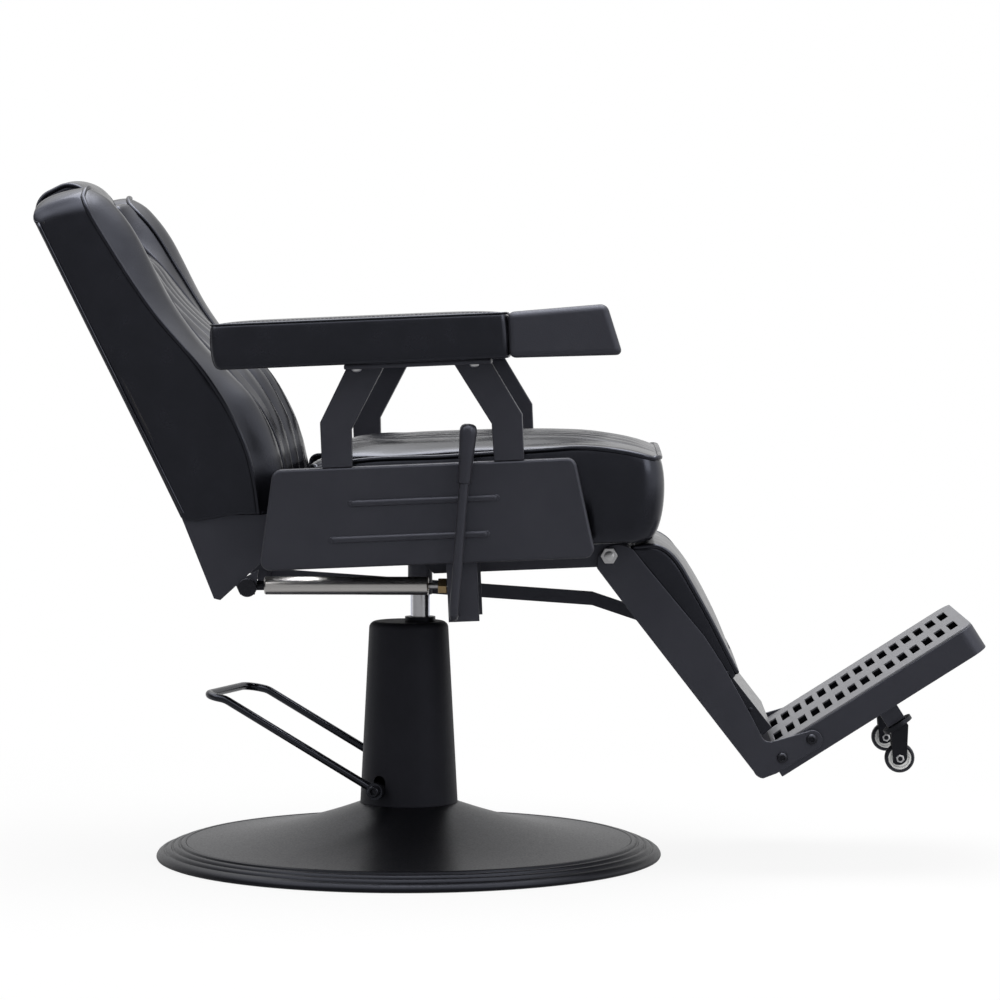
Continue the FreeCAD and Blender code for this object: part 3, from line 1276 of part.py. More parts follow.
lock_rod = new_body("lock_rod")
stem = [
    (d.lock_rod_rear, 0),
    (d.lock_rod_rear, d.lock_rod_radius),
    (d.lock_pivot_x, d.lock_rod_radius),
    (d.lock_pivot_x, 0),
]
revolve(lock_rod, stem, axis="H_Axis")
ring = new_sketch(lock_rod, "XZ_Plane")
draw_circle(ring, d.lock_pivot_x, 0, d.rod_eye)
pad(lock_rod, ring, d.lock_eye_half * 2)
bore(lock_rod, "XZ_Plane", [(d.lock_pivot_x, 0)], d.lock_rod_radius + d.running_gap)
place(lock_rod, lock_frame, -d.lock_y)

nut = new_body("lock_nut")
hexagon = new_sketch(nut, "YZ_Plane", d.nut_rear)
corners = []
for corner in range(6):
    angle = math.radians(60 * corner)
    corners.append((d.nut_radius * math.cos(angle), d.nut_radius * math.sin(angle)))
draw(hexagon, corners)
draw_circle(hexagon, 0, 0, d.lock_rod_radius)
pad(nut, hexagon, d.nut_width, symmetric=False)
place(nut, lock_frame, -d.lock_y)

# The back brackets: kneed plates with a top flange; the right one carries the lock's rear pin.
bracket_outline = [
    (d.ear_rear, d.ear_top),
    (d.ear_heel_x, d.ear_heel_z),
    (d.ear_toe_x, d.ear_toe_z),
    (d.ear_crook_x, d.ear_crook_z),
    (d.ear_waist_x, d.ear_waist_z),
    (d.ear_chin_x, d.ear_chin_z),
    (d.ear_nose_x, d.ear_nose_z),
    (d.ear_front, d.ear_top),
]
for side, sign in SIDES:
    ear = side_plate(
        f"back_bracket_{side}", FLOOR, bracket_outline, d.ear_sheet, (d.ear_face - d.ear_sheet / 2) * sign
    )
    bore(ear, "XZ_Plane", [(d.pivot_x, d.pivot_z)], d.pivot_radius + d.running_gap)
    flange = new_sketch(ear, "XY_Plane", d.ear_top - d.ear_sheet)
    inner = -sign * (d.ear_flange + d.ear_sheet / 2)
    outer = -sign * d.ear_sheet / 2
    draw(flange, rectangle(d.flange_rear, inner, d.flange_front, outer))
    pad(ear, flange, d.ear_sheet, symmetric=False)
    if side == "right":
        lock_lug = [
            (d.lock_eye_x - d.lug_rear, d.lock_height + d.lug_rear_rise),
            (d.lock_eye_x - d.lug_half, d.lock_height - d.lug_half),
            (d.lock_eye_x + d.lug_half, d.lock_height - d.lug_half),
            (d.lock_eye_x + d.lug_front, d.lock_height + d.lug_front_rise),
        ]
        lug_sketch = new_sketch(ear, "XZ_Plane")
        draw(lug_sketch, lock_lug)
        pad(ear, lug_sketch, d.ear_sheet)
        lock_stud = new_sketch(ear, "XZ_Plane")
        draw_circle(lock_stud, d.lock_eye_x, d.lock_height, d.lock_pin)
        pad(ear, lock_stud, d.ear_face - d.lock_y + d.lock_eye_half, symmetric=False, reverse=True)

# The backrest's cross tube, with a clevis and pin for the link to the leg rest.
tie = new_body("back_cross_tube")
tie_round = new_sketch(tie, "XZ_Plane")
draw_circle(tie_round, d.tie_x, d.tie_z, d.tie_radius)
pad(tie, tie_round, (d.ear_face - d.ear_sheet) * 2)
for offset in (-d.cheek_offset, d.cheek_offset):
    cheek = new_sketch(tie, "XZ_Plane", -d.link_y + offset)
    cheek_outline = [
        (d.tie_x - d.cheek_half, d.tie_z - d.cheek_half),
        (d.link_rear_x - d.cheek_eye, d.link_rear_z - d.cheek_half),
        (d.link_rear_x + d.cheek_half, d.link_rear_z - d.cheek_eye),
        (d.link_rear_x + d.cheek_eye, d.link_rear_z + d.cheek_half),
        (d.tie_x + d.cheek_half, d.tie_z + d.cheek_half),
    ]
    draw(cheek, cheek_outline)
    pad(tie, cheek, d.cheek_sheet)
link_stud = new_sketch(tie, "XZ_Plane", -d.link_y)
draw_circle(link_stud, d.link_rear_x, d.link_rear_z, d.link_pin)
pad(tie, link_stud, d.cheek_span)
place(tie, FLOOR)

# The back board and rear cover: flat panels with a notch for the headrest and a slot for its stem.
board = new_body("back_board")
board_plan = new_sketch(board, "YZ_Plane", d.back_skin)
draw(board_plan, [
    (-d.back_half + d.board_inset, -d.board_drop),
    (d.back_half - d.board_inset, -d.board_drop),
    (d.back_half - d.board_inset, d.back_height),
    (d.notch_half, d.back_height),
    (d.notch_half, d.notch_foot),
    (d.socket_half, d.notch_foot),
    (d.socket_half, d.socket_foot),
    (-d.socket_half, d.socket_foot),
    (-d.socket_half, d.notch_foot),
    (-d.notch_half, d.notch_foot),
    (-d.notch_half, d.back_height),
    (-d.back_half + d.board_inset, d.back_height),
])
pad(board, board_plan, d.back_ply, symmetric=False)
place(board, BACK)

rear_cover = new_body("back_cover")
cover_plan = new_sketch(rear_cover, "YZ_Plane")
cover_half = d.back_half - d.cover_inset
cover_top = d.back_height - d.cover_top_gap
cover_notch = d.notch_half + d.cover_notch_gap
cover_sill = d.notch_foot - d.cover_notch_gap
draw(cover_plan, [
    (-cover_half, d.cover_foot),
    (cover_half, d.cover_foot),
    (cover_half, cover_top),
    (cover_notch, cover_top),
    (cover_notch, cover_sill),
    (-cover_notch, cover_sill),
    (-cover_notch, cover_top),
    (-cover_half, cover_top),
])
pad(rear_cover, cover_plan, d.back_skin, symmetric=False)
place(rear_cover, BACK)


# The back cushion: two raised side wings round a pleated middle with a lumbar swell.
def back_section(swell, waist, upper, top, fullness, crest_rise=0):
    """Give the side outline of the backrest: how far its front stands out low, half way and high up."""
    rear = (d.back_skin + d.back_ply).value
    foot = d.wing_foot_z.value
    sole = (rear, foot + (d.wing_foot_x.value - rear) * math.tan(math.radians(d.back_lean.value)))
    lesser = d.swell_most.value - swell
    toe = (d.wing_foot_x.value - lesser * d.sole_in.value, foot + lesser * d.sole_rise.value)
    chin = (swell - d.chin_in.value, -d.chin_drop.value)
    chest = (waist + (swell - waist) * fullness, d.chest_z.value)
    crest = (upper, top - d.crest_drop.value + crest_rise)
    bow = (upper - d.crest_bow.value, (crest[1] + top) / 2 + d.crest_bow_rise.value)
    brow = (upper - d.brow_in.value, top)
    nape = (rear, top - d.top_tuck.value)
    return [
        [sole, toe],
        [toe, chin],
        [chin, (swell, d.lumbar_z.value), chest],
        [chest, (waist, d.waist_z.value), crest],
        [crest, bow, brow],
        [brow, nape],
        [nape, sole],
    ]


half = d.back_half.value
wing_top = d.wing_top.value
wing_fullness = d.wing_fullness.value
notch = d.notch_half.value
back_sections = []
for share in EDGE_STEPS:
    fall = edge_fall(share)
    swell = d.roll_swell - (d.roll_swell - d.back_edge_swell) * fall
    waist = d.roll_waist - (d.roll_waist - d.back_edge_waist) * fall
    upper = d.roll_upper - (d.roll_upper - d.back_edge_upper) * fall
    top = wing_top - d.back_edge_drop.value * fall
    roll_section = back_section(swell.value, waist.value, upper.value, top, wing_fullness)
    back_sections.append((share * d.roll_in.value - half, roll_section))
seam_section = back_section(
    d.roll_swell.value, d.roll_seam_waist.value, d.roll_seam_upper.value, wing_top, wing_fullness
)
back_sections.append((d.roll_seam_in.value - half, seam_section))
strip_section = back_section(
    d.strip_swell.value, d.strip_waist.value, d.strip_upper.value, wing_top - d.strip_drop.value, wing_fullness
)
back_sections.append((-notch - d.strip_in.value, strip_section))
middle_top = (d.notch_foot + d.middle_rise).value
middle_crest = d.middle_crest.value
notch_section = back_section(
    d.notch_swell.value, d.notch_waist.value, d.notch_upper.value, middle_top, d.notch_fullness.value, middle_crest
)
back_sections.append((-notch, notch_section))
for step in range(int(d.back_seams.value), -1, -1):
    depth = 0 if step % 2 else d.channel_depth.value
    pleat_section = back_section(
        d.middle_swell.value - depth,
        d.middle_waist.value - depth,
        d.middle_upper.value - depth,
        middle_top,
        d.middle_fullness.value,
        middle_crest,
    )
    back_sections.append((-step * d.back_pitch.value, pleat_section))
cushion("back_cushion", BACK, mirrored(back_sections))

# The headrest: a pillow in the notch, on a flat stem that slides in a socket in the back board.
socket = new_body("headrest_socket")
socket_plan = new_sketch(socket, "XY_Plane", d.socket_foot)
stem_x = d.back_skin + d.back_ply / 2
socket_room = d.socket_half - d.sheet_gap
draw(socket_plan, rectangle(d.back_skin, -socket_room, d.back_skin + d.back_ply, socket_room))
stem_room = d.stem_half + d.stem_gap
stem_room_depth = d.stem_half_depth + d.stem_gap
draw(socket_plan, rectangle(stem_x - stem_room_depth, -stem_room, stem_x + stem_room_depth, stem_room))
pad(socket, socket_plan, d.notch_foot - d.socket_foot, symmetric=False)
place(socket, BACK)

head_stem = new_body("headrest_stem")
stem_plan = new_sketch(head_stem, "XY_Plane", d.stem_foot)
draw(stem_plan, rectangle(
    stem_x - d.stem_half_depth, -d.stem_half, stem_x + d.stem_half_depth, d.stem_half
))
pad(head_stem, stem_plan, d.head_foot - d.stem_foot, symmetric=False)
place(head_stem, BACK)


def head_section(shrink):
    """Give the side outline of the headrest pillow, drawn in all round."""
    rear = d.head_rear.value + shrink
    front = d.head_front.value - shrink
    foot = d.head_foot.value + shrink * d.pillow_sink.value
    top = ((rear + front) / 2, d.head_top.value - shrink)
    low = foot + d.pillow_low.value
    reach = d.pillow_round.value
    front_top = (front - d.pillow_lean.value, top[1] - d.pillow_front.value)
    rear_top = (rear + d.pillow_lean.value, top[1] - d.pillow_back.value)
    return [
        [(rear + reach, foot), (front - reach, foot)],
        [(front - reach, foot), corner_middle((front, low), (front - reach, foot)), (front, low)],
        [(front, low), front_top],
        [front_top, top, rear_top],
        [rear_top, (rear, low)],
        [(rear, low), corner_middle((rear, low), (rear + reach, foot)), (rear + reach, foot)],
    ]


head_sections = []
for share in EDGE_STEPS:
    inward = share * d.pillow_end.value
    head_sections.append((inward - d.head_half.value, head_section(d.pillow_shrink.value * edge_fall(share))))
head_sections.append((0, head_section(0)))
cushion("headrest_pad", BACK, mirrored(head_sections))

# The link: a kneed flat bar that pushes the leg rest up as the backrest goes down.
link_outline = [
    (d.link_rear_x - d.link_tail, d.link_rear_z - d.link_half),
    (d.link_bend_x, d.link_bend_z - d.link_half),
    (d.link_front_x, d.link_front_z - d.link_half),
    (d.link_front_x, d.link_front_z + d.link_half),
    (d.link_bend_x, d.link_bend_z + d.link_half),
    (d.link_rear_x - d.link_tail, d.link_rear_z + d.link_half),
]
link = side_plate("leg_link", FLOOR, link_outline, d.link_sheet, d.link_y)
front_eye = new_sketch(link, "XZ_Plane")
draw_circle(front_eye, d.link_front_x, d.link_front_z, d.link_eye)
pad(link, front_eye, d.link_sheet)
bore(link, "XZ_Plane", [(d.link_front_x, d.link_front_z)], d.shin_tube + d.open_gap)
bore(link, "XZ_Plane", [(d.link_rear_x, d.link_rear_z)], d.link_pin + d.running_gap)

# The leg plates: two L-shaped plates, each on its bolt, joined by a tube that the link pushes.
shin_outline = [
    (d.shin_back_x, d.shin_back_z),
    (d.shin_bend_x, d.shin_bend_z),
    (d.heel_back_x, d.heel_back_z),
    (d.heel_x, d.heel_z),
    (d.sole_x, d.sole_z),
    (d.toe_x, d.toe_z),
    (d.instep_x, d.instep_z),
    (d.crook_x, d.crook_z),
    (d.crook_rear_x, d.crook_rear_z),
    (d.shin_low_x, d.shin_low_z),
    (d.shin_mid_x, d.shin_mid_z),
    (d.shin_high_x, d.shin_high_z),
    (d.leg_x, d.leg_z),
    (d.brow_x, d.brow_z),
    (d.nape_x, d.nape_z),
]
shin_arcs = {2: d.heel_round, 5: d.toe_round, 7: -d.crook_round, 13: d.head_round}
for side, sign in SIDES:
    shin = side_plate(
        f"leg_plate_{side}",
        FLOOR,
        shin_outline,
        d.shin_sheet,
        (d.shin_face - d.shin_sheet / 2) * sign,
        shin_arcs,
    )
    bore(shin, "XZ_Plane", [(d.knee_x, d.knee_z)], d.knee_bolt + d.running_gap)

shin_tube = new_body("leg_cross_tube")
shin_round = new_sketch(shin_tube, "XZ_Plane")
draw_circle(shin_round, d.link_front_x, d.link_front_z, d.shin_tube)
pad(shin_tube, shin_round, (d.shin_face - d.shin_sheet) * 2)
place(shin_tube, FLOOR)

# The leg pad on its board, and the sheet-metal kick plate below it.
side_plate(
    "leg_board",
    LEG,
    rectangle(d.calf_back - d.calf_ply, d.calf_foot, d.calf_back, d.calf_top - d.calf_board_gap),
    d.leg_half * 2,
    0,
)
kick = new_body("kick_plate")
kick_plan = new_sketch(kick, "XY_Plane", d.kick_foot)
kick_inside = d.leg_half - d.kick_sheet
draw(kick_plan, [
    (-d.kick_flange, -d.leg_half),
    (0, -d.leg_half),
    (0, d.leg_half),
    (-d.kick_flange, d.leg_half),
    (-d.kick_flange, kick_inside),
    (-d.kick_sheet, kick_inside),
    (-d.kick_sheet, -kick_inside),
    (-d.kick_flange, -kick_inside),
])
pad(kick, kick_plan, d.calf_foot - d.kick_gap - d.kick_foot, symmetric=False)
place(kick, LEG)


def calf_section(drop, inset):
    """Give the side outline of the leg pad, thick at the knee and thin at the foot."""
    back = d.calf_back.value
    top = d.calf_top.value - inset
    foot = d.calf_foot.value + inset
    cap = (d.calf_cap.value, top + d.calf_cap_rise.value)
    knee = (d.calf_thick.value - drop, top - d.calf_bulge.value)
    waist = (d.calf_waist.value - drop, d.calf_waist_z.value)
    middle = (d.calf_middle.value - drop, d.calf_middle_z.value)
    shin = (d.calf_shin.value - drop, d.calf_shin_z.value)
    ankle = (d.calf_thin.value - drop, foot + d.calf_thin_rise.value)
    tip = (d.calf_tip.value - drop, foot)
    return [
        [(back, foot), (back, top)],
        [(back, top), cap],
        [cap, corner_middle(knee, cap), knee],
        [knee, waist, middle],
        [middle, shin, ankle],
        [ankle, corner_middle(ankle, tip), tip],
        [tip, (back, foot)],
    ]


calf_sections = []
for share in EDGE_STEPS:
    fall = edge_fall(share)
    calf_side = calf_section(d.calf_edge_drop.value * fall, d.calf_edge_inset.value * fall)
    calf_sections.append((share * d.calf_edge.value - d.leg_half.value, calf_side))
calf_sections.append((0, calf_section(0, 0)))
cushion("leg_pad", LEG, mirrored(calf_sections))

# The foot rest: a folded pan with an open top, closed from below, and a slotted tread plate on its rim.
up = Vector(0, 0, 1)


def foot_plan(rear, margin):
    """Give the foot rest's plan from a rear edge on, with round front corners, drawn in by a margin."""
    half = d.foot_half - margin
    front = d.foot_length - margin
    corner = d.foot_corner - margin
    corners = [
        (rear + margin, -half),
        (front - corner, -half),
        (front, -half + corner),
        (front, half - corner),
        (front - corner, half),
        (rear + margin, half),
    ]
    return corners, {1: corner, 3: corner}


tray = new_body("foot_tray")
tray_plan = new_sketch(tray, "XY_Plane")
draw(tray_plan, *foot_plan(-d.foot_heel, ZERO))
pad(tray, tray_plan, d.foot_depth, symmetric=False, reverse=True)
shell(tray, d.foot_sheet, lambda face: faces_way(face, -up))
window = new_sketch(tray, "XY_Plane")
draw(window, *foot_plan(ZERO, d.foot_rim))
cut_depth(tray, window, d.foot_sheet * 2)
place(tray, FOOT)

closing = new_body("foot_base_plate")
closing_plan = new_sketch(closing, "XY_Plane", -d.foot_depth)
draw(closing_plan, *foot_plan(-d.foot_heel, d.foot_sheet + d.sheet_gap))
pad(closing, closing_plan, d.foot_sheet, symmetric=False)
legs = new_sketch(closing, "XY_Plane", -d.foot_depth)
for sign in (1, -1):
    draw(legs, rectangle(
        d.caster_x - d.caster_leg,
        d.caster_y * sign - d.caster_leg,
        d.caster_x + d.caster_leg,
        d.caster_y * sign + d.caster_leg,
    ))
pad(closing, legs, -d.caster_leg_foot - d.foot_depth, symmetric=False, reverse=True)
stem_holes = new_sketch(closing, "XY_Plane", d.caster_leg_foot)
for sign in (1, -1):
    draw_circle(stem_holes, d.caster_x, d.caster_y * sign, d.caster_stem + d.running_gap)
cut_depth(closing, stem_holes, d.stem_depth, reverse=True)
place(closing, FOOT)

tread = new_body("foot_tread")
tread_plan = new_sketch(tread, "XY_Plane")
draw(tread_plan, *foot_plan(ZERO, d.tread_margin))
pad(tread, tread_plan, d.tread_sheet, symmetric=False)
first_row = new_sketch(tread, "XY_Plane", d.tread_sheet)
for sign in (1, -1):
    draw(first_row, rectangle(
        d.slot_first,
        d.slot_middle * sign - d.slot_half,
        d.slot_first + d.slot_height,
        d.slot_middle * sign + d.slot_half,
    ))
cut_depth(tread, first_row, d.tread_sheet * 2)
rows = tread.newObject("PartDesign::LinearPattern", "tread_rows")
rows.Originals = [tread.Tip]
rows.Direction = (first_row, ["H_Axis"])
bind(rows, "Length", d.slot_pitch * (d.slot_rows - 1))
bind(rows, "Occurrences", d.slot_rows)
tread.Tip = rows
place(tread, FOOT)

screws = []
for side, sign in SIDES:
    for x, z in ((d.screw_low_x, d.screw_low_z), (d.screw_high_x, d.screw_high_z)):
        start = Vector(x.value, sign * d.shin_face.value, z.value)
        screws.append(
            Part.makeCylinder(d.foot_screw.value, d.foot_screw_height.value, start, Vector(0, sign, 0))
        )
place(new_solid("foot_bolts", Part.makeCompound(screws)), FLOOR)

# The casters: a swivelling fork with a trailing wheel under each side of the foot rest.
axle_x = d.caster_x - d.caster_trail
fork_top = d.caster_leg_foot - d.swivel_gap
for side, sign in SIDES:
    fork = new_body(f"caster_fork_{side}")
    cheeks = new_sketch(fork, "XZ_Plane")
    draw(cheeks, [
        (d.caster_x - d.fork_half, fork_top - d.fork_neck),
        (axle_x - d.fork_tip, d.caster_axle),
        (axle_x + d.fork_tip, d.caster_axle),
        (d.caster_x + d.fork_half, fork_top - d.fork_brow),
        (d.caster_x + d.fork_half, fork_top - d.fork_neck),
    ], {1: d.fork_tip * d.slot_arc})
    pad(fork, cheeks, d.caster_fork * 2)
    gap = new_sketch(fork, "XZ_Plane")
    gap_foot = d.caster_axle - d.caster_wheel
    draw(gap, rectangle(d.caster_x - d.fork_reach, gap_foot, d.caster_x + d.fork_reach, fork_top - d.fork_bridge))
    gap_cut = fork.newObject("PartDesign::Pocket", f"{fork.Name}_gap")
    gap_cut.Profile = gap
    gap_cut.SideType = "Symmetric"
    bind(gap_cut, "Length", d.caster_gap * 2)
    doc.recompute()
    disc = new_sketch(fork, "XY_Plane", fork_top - d.disc_height)
    draw_circle(disc, d.caster_x, 0, d.caster_disc)
    pad(fork, disc, d.disc_height, symmetric=False)
    swivel = new_sketch(fork, "XY_Plane", fork_top - d.disc_height)
    draw_circle(swivel, d.caster_x, 0, d.caster_stem)
    pad(fork, swivel, d.stem_length, symmetric=False)
    axle = new_sketch(fork, "XZ_Plane")
    draw_circle(axle, axle_x, d.caster_axle, d.caster_axle_radius)
    pad(fork, axle, (d.caster_fork + d.axle_over) * 2)
    place(fork, FOOT, d.caster_y * sign)

    wheel = new_body(f"caster_wheel_{side}")
    section = new_sketch(wheel, "XZ_Plane")
    draw_circle(section, axle_x, d.caster_axle, d.caster_wheel)
    draw_circle(section, axle_x, d.caster_axle, d.caster_axle_radius + d.running_gap)
    pad(wheel, section, d.caster_tread * 2)
    hole_edge = (d.caster_axle_radius * 2).value
    round_edges(
        wheel,
        d.tyre_round,
        lambda edge: edge.Curve.TypeId == "Part::GeomCircle" and edge.Curve.Radius > hole_edge,
    )
    place(wheel, FOOT, d.caster_y * sign)

doc.recompute()

faults = []
for item in doc.Objects:
    if "Invalid" in item.State or "Error" in item.State:
        faults.append(f"{item.Label}: {item.State}")
for part in parts:
    if part.Shape.isNull() or not part.Shape.isValid() or part.Shape.Volume <= 0:
        faults.append(f"{part.Label}: bad shape")
if faults:
    raise RuntimeError("; ".join(faults))

os.makedirs("parts", exist_ok=True)
for part in parts:
    part.Shape.exportStep(f"parts/{part.Label}.step")
print(f"{len(parts)} parts written")
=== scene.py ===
"""A reclining barber chair on a round hydraulic base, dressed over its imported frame, in metres.

The chair stands on the floor at the origin. The sitter faces +X, and the picture is taken from -Y.
The sections follow the order in which such a chair is put together, from the floor plate upwards.
"""
import json
import math

import bpy
import numpy as np
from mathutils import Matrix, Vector

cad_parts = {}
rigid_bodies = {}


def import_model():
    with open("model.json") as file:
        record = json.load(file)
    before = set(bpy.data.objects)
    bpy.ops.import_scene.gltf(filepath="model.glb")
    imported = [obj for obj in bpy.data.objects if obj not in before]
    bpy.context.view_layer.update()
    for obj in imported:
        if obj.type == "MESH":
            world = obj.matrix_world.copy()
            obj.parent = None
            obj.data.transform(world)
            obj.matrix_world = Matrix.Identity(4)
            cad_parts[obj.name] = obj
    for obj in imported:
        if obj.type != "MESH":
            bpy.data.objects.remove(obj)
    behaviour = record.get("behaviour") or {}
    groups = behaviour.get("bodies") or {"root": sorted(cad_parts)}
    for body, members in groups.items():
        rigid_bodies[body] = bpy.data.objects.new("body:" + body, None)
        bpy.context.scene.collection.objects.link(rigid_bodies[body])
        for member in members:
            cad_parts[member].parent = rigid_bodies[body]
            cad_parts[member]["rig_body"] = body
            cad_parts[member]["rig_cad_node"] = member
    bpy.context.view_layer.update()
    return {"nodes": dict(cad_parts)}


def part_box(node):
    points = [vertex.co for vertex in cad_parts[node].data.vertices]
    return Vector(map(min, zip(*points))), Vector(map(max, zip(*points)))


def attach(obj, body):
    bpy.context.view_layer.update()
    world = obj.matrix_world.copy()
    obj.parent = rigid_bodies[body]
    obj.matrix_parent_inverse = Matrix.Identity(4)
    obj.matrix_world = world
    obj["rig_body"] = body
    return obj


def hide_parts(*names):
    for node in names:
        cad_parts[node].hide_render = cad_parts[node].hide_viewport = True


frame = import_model()
nodes = frame["nodes"]
bpy.ops.object.select_all(action="DESELECT")


# The studio: a pale floor, three softboxes and a white surround. What the chair's gloss mirrors of it is dim
# behind the camera, darker at the sides, and bright ahead of the sitter and overhead.
def linear(hex_colour):
    """Turn an sRGB hex colour into the linear colour that shaders work with."""
    channels = [int(hex_colour[at:at + 2], 16) / 255 for at in (1, 3, 5)]
    return [c / 12.92 if c <= 0.04045 else ((c + 0.055) / 1.055) ** 2.4 for c in channels] + [1.0]


def add_node(tree, kind, sockets=None, **settings):
    """Add a shader node, set its settings, and give its sockets a value or a link."""
    made = tree.nodes.new(kind)
    for name, value in settings.items():
        setattr(made, name, value)
    for name, value in (sockets or {}).items():
        if isinstance(value, bpy.types.NodeSocket):
            tree.links.new(value, made.inputs[name])
        else:
            made.inputs[name].default_value = value
    return made


scene = bpy.context.scene
scene.view_settings.view_transform = "Standard"

ROOM_GREY = (0.37, 0.37, 0.37, 1)
BACKDROP_GREY = (0.78, 0.78, 0.78, 1)
MATT_LEVEL = 0.30
OVERHEAD_LEVEL = 3.8
AHEAD_LEVEL = 1.3
SURROUND_LEVELS = ((0.1, 0.34), (0.28, 0.17), (0.46, 0.17), (0.62, 0.45))
studio = bpy.data.worlds.new("studio")
studio.use_nodes = True
tree = studio.node_tree
tree.nodes.clear()
rays = add_node(tree, "ShaderNodeLightPath")
seen = add_node(tree, "ShaderNodeMath", {
    0: rays.outputs["Is Camera Ray"], 1: rays.outputs["Is Transmission Ray"]}, operation="MAXIMUM")
direction = add_node(tree, "ShaderNodeTexCoord")
split = add_node(tree, "ShaderNodeSeparateXYZ", {"Vector": direction.outputs["Generated"]})
from_front = add_node(tree, "ShaderNodeMapRange", {
    "Value": split.outputs["Y"], "From Min": -1.0, "From Max": 1.0})
round_about = add_node(tree, "ShaderNodeValToRGB", {"Fac": from_front.outputs[0]})
for position, level in SURROUND_LEVELS:
    round_about.color_ramp.elements.new(position).color = (level, level, level, 1)
round_about.color_ramp.elements[0].color = ROOM_GREY
round_about.color_ramp.elements[-1].position = 0.9
round_about.color_ramp.elements[-1].color = BACKDROP_GREY
overhead = add_node(tree, "ShaderNodeMapRange", {
    "Value": split.outputs["Z"], "From Min": 0.4, "From Max": 0.9, "To Max": OVERHEAD_LEVEL})
ahead = add_node(tree, "ShaderNodeMapRange", {
    "Value": split.outputs["X"], "From Min": 0.3, "From Max": 0.9, "To Max": AHEAD_LEVEL})
level_light = add_node(tree, "ShaderNodeMath", {0: round_about.outputs["Color"], 1: ahead.outputs[0]},
                       operation="MAXIMUM")
mirrored_light = add_node(tree, "ShaderNodeMath", {0: level_light.outputs[0], 1: overhead.outputs[0]},
                          operation="MAXIMUM")
surround = add_node(tree, "ShaderNodeMix", {
    0: rays.outputs["Is Glossy Ray"], 2: MATT_LEVEL, 3: mirrored_light.outputs[0]}, data_type="FLOAT")
strength = add_node(tree, "ShaderNodeMix", {
    0: seen.outputs[0], 2: surround.outputs[0], 3: 1.0}, data_type="FLOAT")
backdrop = add_node(tree, "ShaderNodeBackground", {"Color": (1, 1, 1, 1), "Strength": strength.outputs[0]})
add_node(tree, "ShaderNodeOutputWorld", {"Surface": backdrop.outputs[0]})
scene.world = studio


def add_lamp(name, place, target, size, watts):
    """Hang a square softbox at a place, turned to shine on a target."""
    bpy.ops.object.light_add(type="AREA", location=place)
    lamp = bpy.context.object
    lamp.name = name
    lamp.data.size = size
    lamp.data.energy = watts
    lamp.rotation_euler = (Vector(target) - Vector(place)).to_track_quat("-Z", "Y").to_euler()


add_lamp("overhead_softbox", (0.2, 0.1, 3.4), (0.1, 0, 0.4), 2.6, 105)
add_lamp("front_softbox", (2.6, -2.2, 2.2), (0.1, 0, 0.5), 1.6, 24)
add_lamp("rear_softbox", (-2.6, -1.6, 2.4), (0.0, 0, 0.6), 1.4, 12)

FLOOR_SIZE = 40
SHADOW_REACH = 0.75
SHADOW_END = 1.5
FLOOR_LEVELS = ((0.5, 0.32), (0.7, 0.34))
bpy.ops.mesh.primitive_plane_add(size=FLOOR_SIZE, location=(0, 0, 0))
floor = bpy.context.object
floor.name = "studio_floor"
paper = bpy.data.materials.new("matt_white_paper")
paper.use_nodes = True
paper.node_tree.nodes.clear()
tree = paper.node_tree
place = add_node(tree, "ShaderNodeTexCoord")
fibres = add_node(tree, "ShaderNodeTexNoise", {"Vector": place.outputs["Object"], "Scale": 3, "Detail": 2})
shade = add_node(tree, "ShaderNodeValToRGB", {"Fac": fibres.outputs["Fac"]})
shade.color_ramp.elements[0].color = linear("#f8f8f8")
shade.color_ramp.elements[1].color = linear("#fcfcfc")
matt = add_node(tree, "ShaderNodeBsdfDiffuse", {"Color": shade.outputs["Color"]})
rays = add_node(tree, "ShaderNodeLightPath")
forward = add_node(tree, "ShaderNodeSeparateXYZ", {"Vector": place.outputs["Object"]})
towards_back = add_node(tree, "ShaderNodeMapRange", {
    "Value": forward.outputs["Y"], "From Min": -4.0, "From Max": 1.0})
near_side = add_node(tree, "ShaderNodeValToRGB", {"Fac": towards_back.outputs[0]})
for position, level in FLOOR_LEVELS:
    near_side.color_ramp.elements.new(position).color = (level, level, level, 1)
near_side.color_ramp.elements[0].color = ROOM_GREY
near_side.color_ramp.elements[-1].color = BACKDROP_GREY
glow = add_node(tree, "ShaderNodeMix", {
    0: rays.outputs["Is Glossy Ray"], 2: 1.0, 3: near_side.outputs["Color"]}, data_type="FLOAT")
white = add_node(tree, "ShaderNodeEmission", {"Strength": glow.outputs[0]})
reach = add_node(tree, "ShaderNodeVectorMath", {0: place.outputs["Object"]}, operation="LENGTH")
paleness = add_node(tree, "ShaderNodeMapRange", {
    "Value": reach.outputs["Value"], "From Min": SHADOW_REACH, "From Max": SHADOW_END,
    "To Min": 0.9, "To Max": 1.0})
mirrored = add_node(tree, "ShaderNodeMath", {
    0: rays.outputs["Is Glossy Ray"], 1: rays.outputs["Is Transmission Ray"]}, operation="MAXIMUM")
seen = add_node(tree, "ShaderNodeMath", {
    0: rays.outputs["Is Camera Ray"], 1: mirrored.outputs[0]}, operation="MAXIMUM")
share = add_node(tree, "ShaderNodeMath", {0: seen.outputs[0], 1: paleness.outputs[0]}, operation="MULTIPLY")
surface = add_node(tree, "ShaderNodeMixShader", {
    0: share.outputs[0], 1: matt.outputs[0], 2: white.outputs[0]})
add_node(tree, "ShaderNodeOutputMaterial", {"Surface": surface.outputs[0]})
floor.data.materials.append(paper)

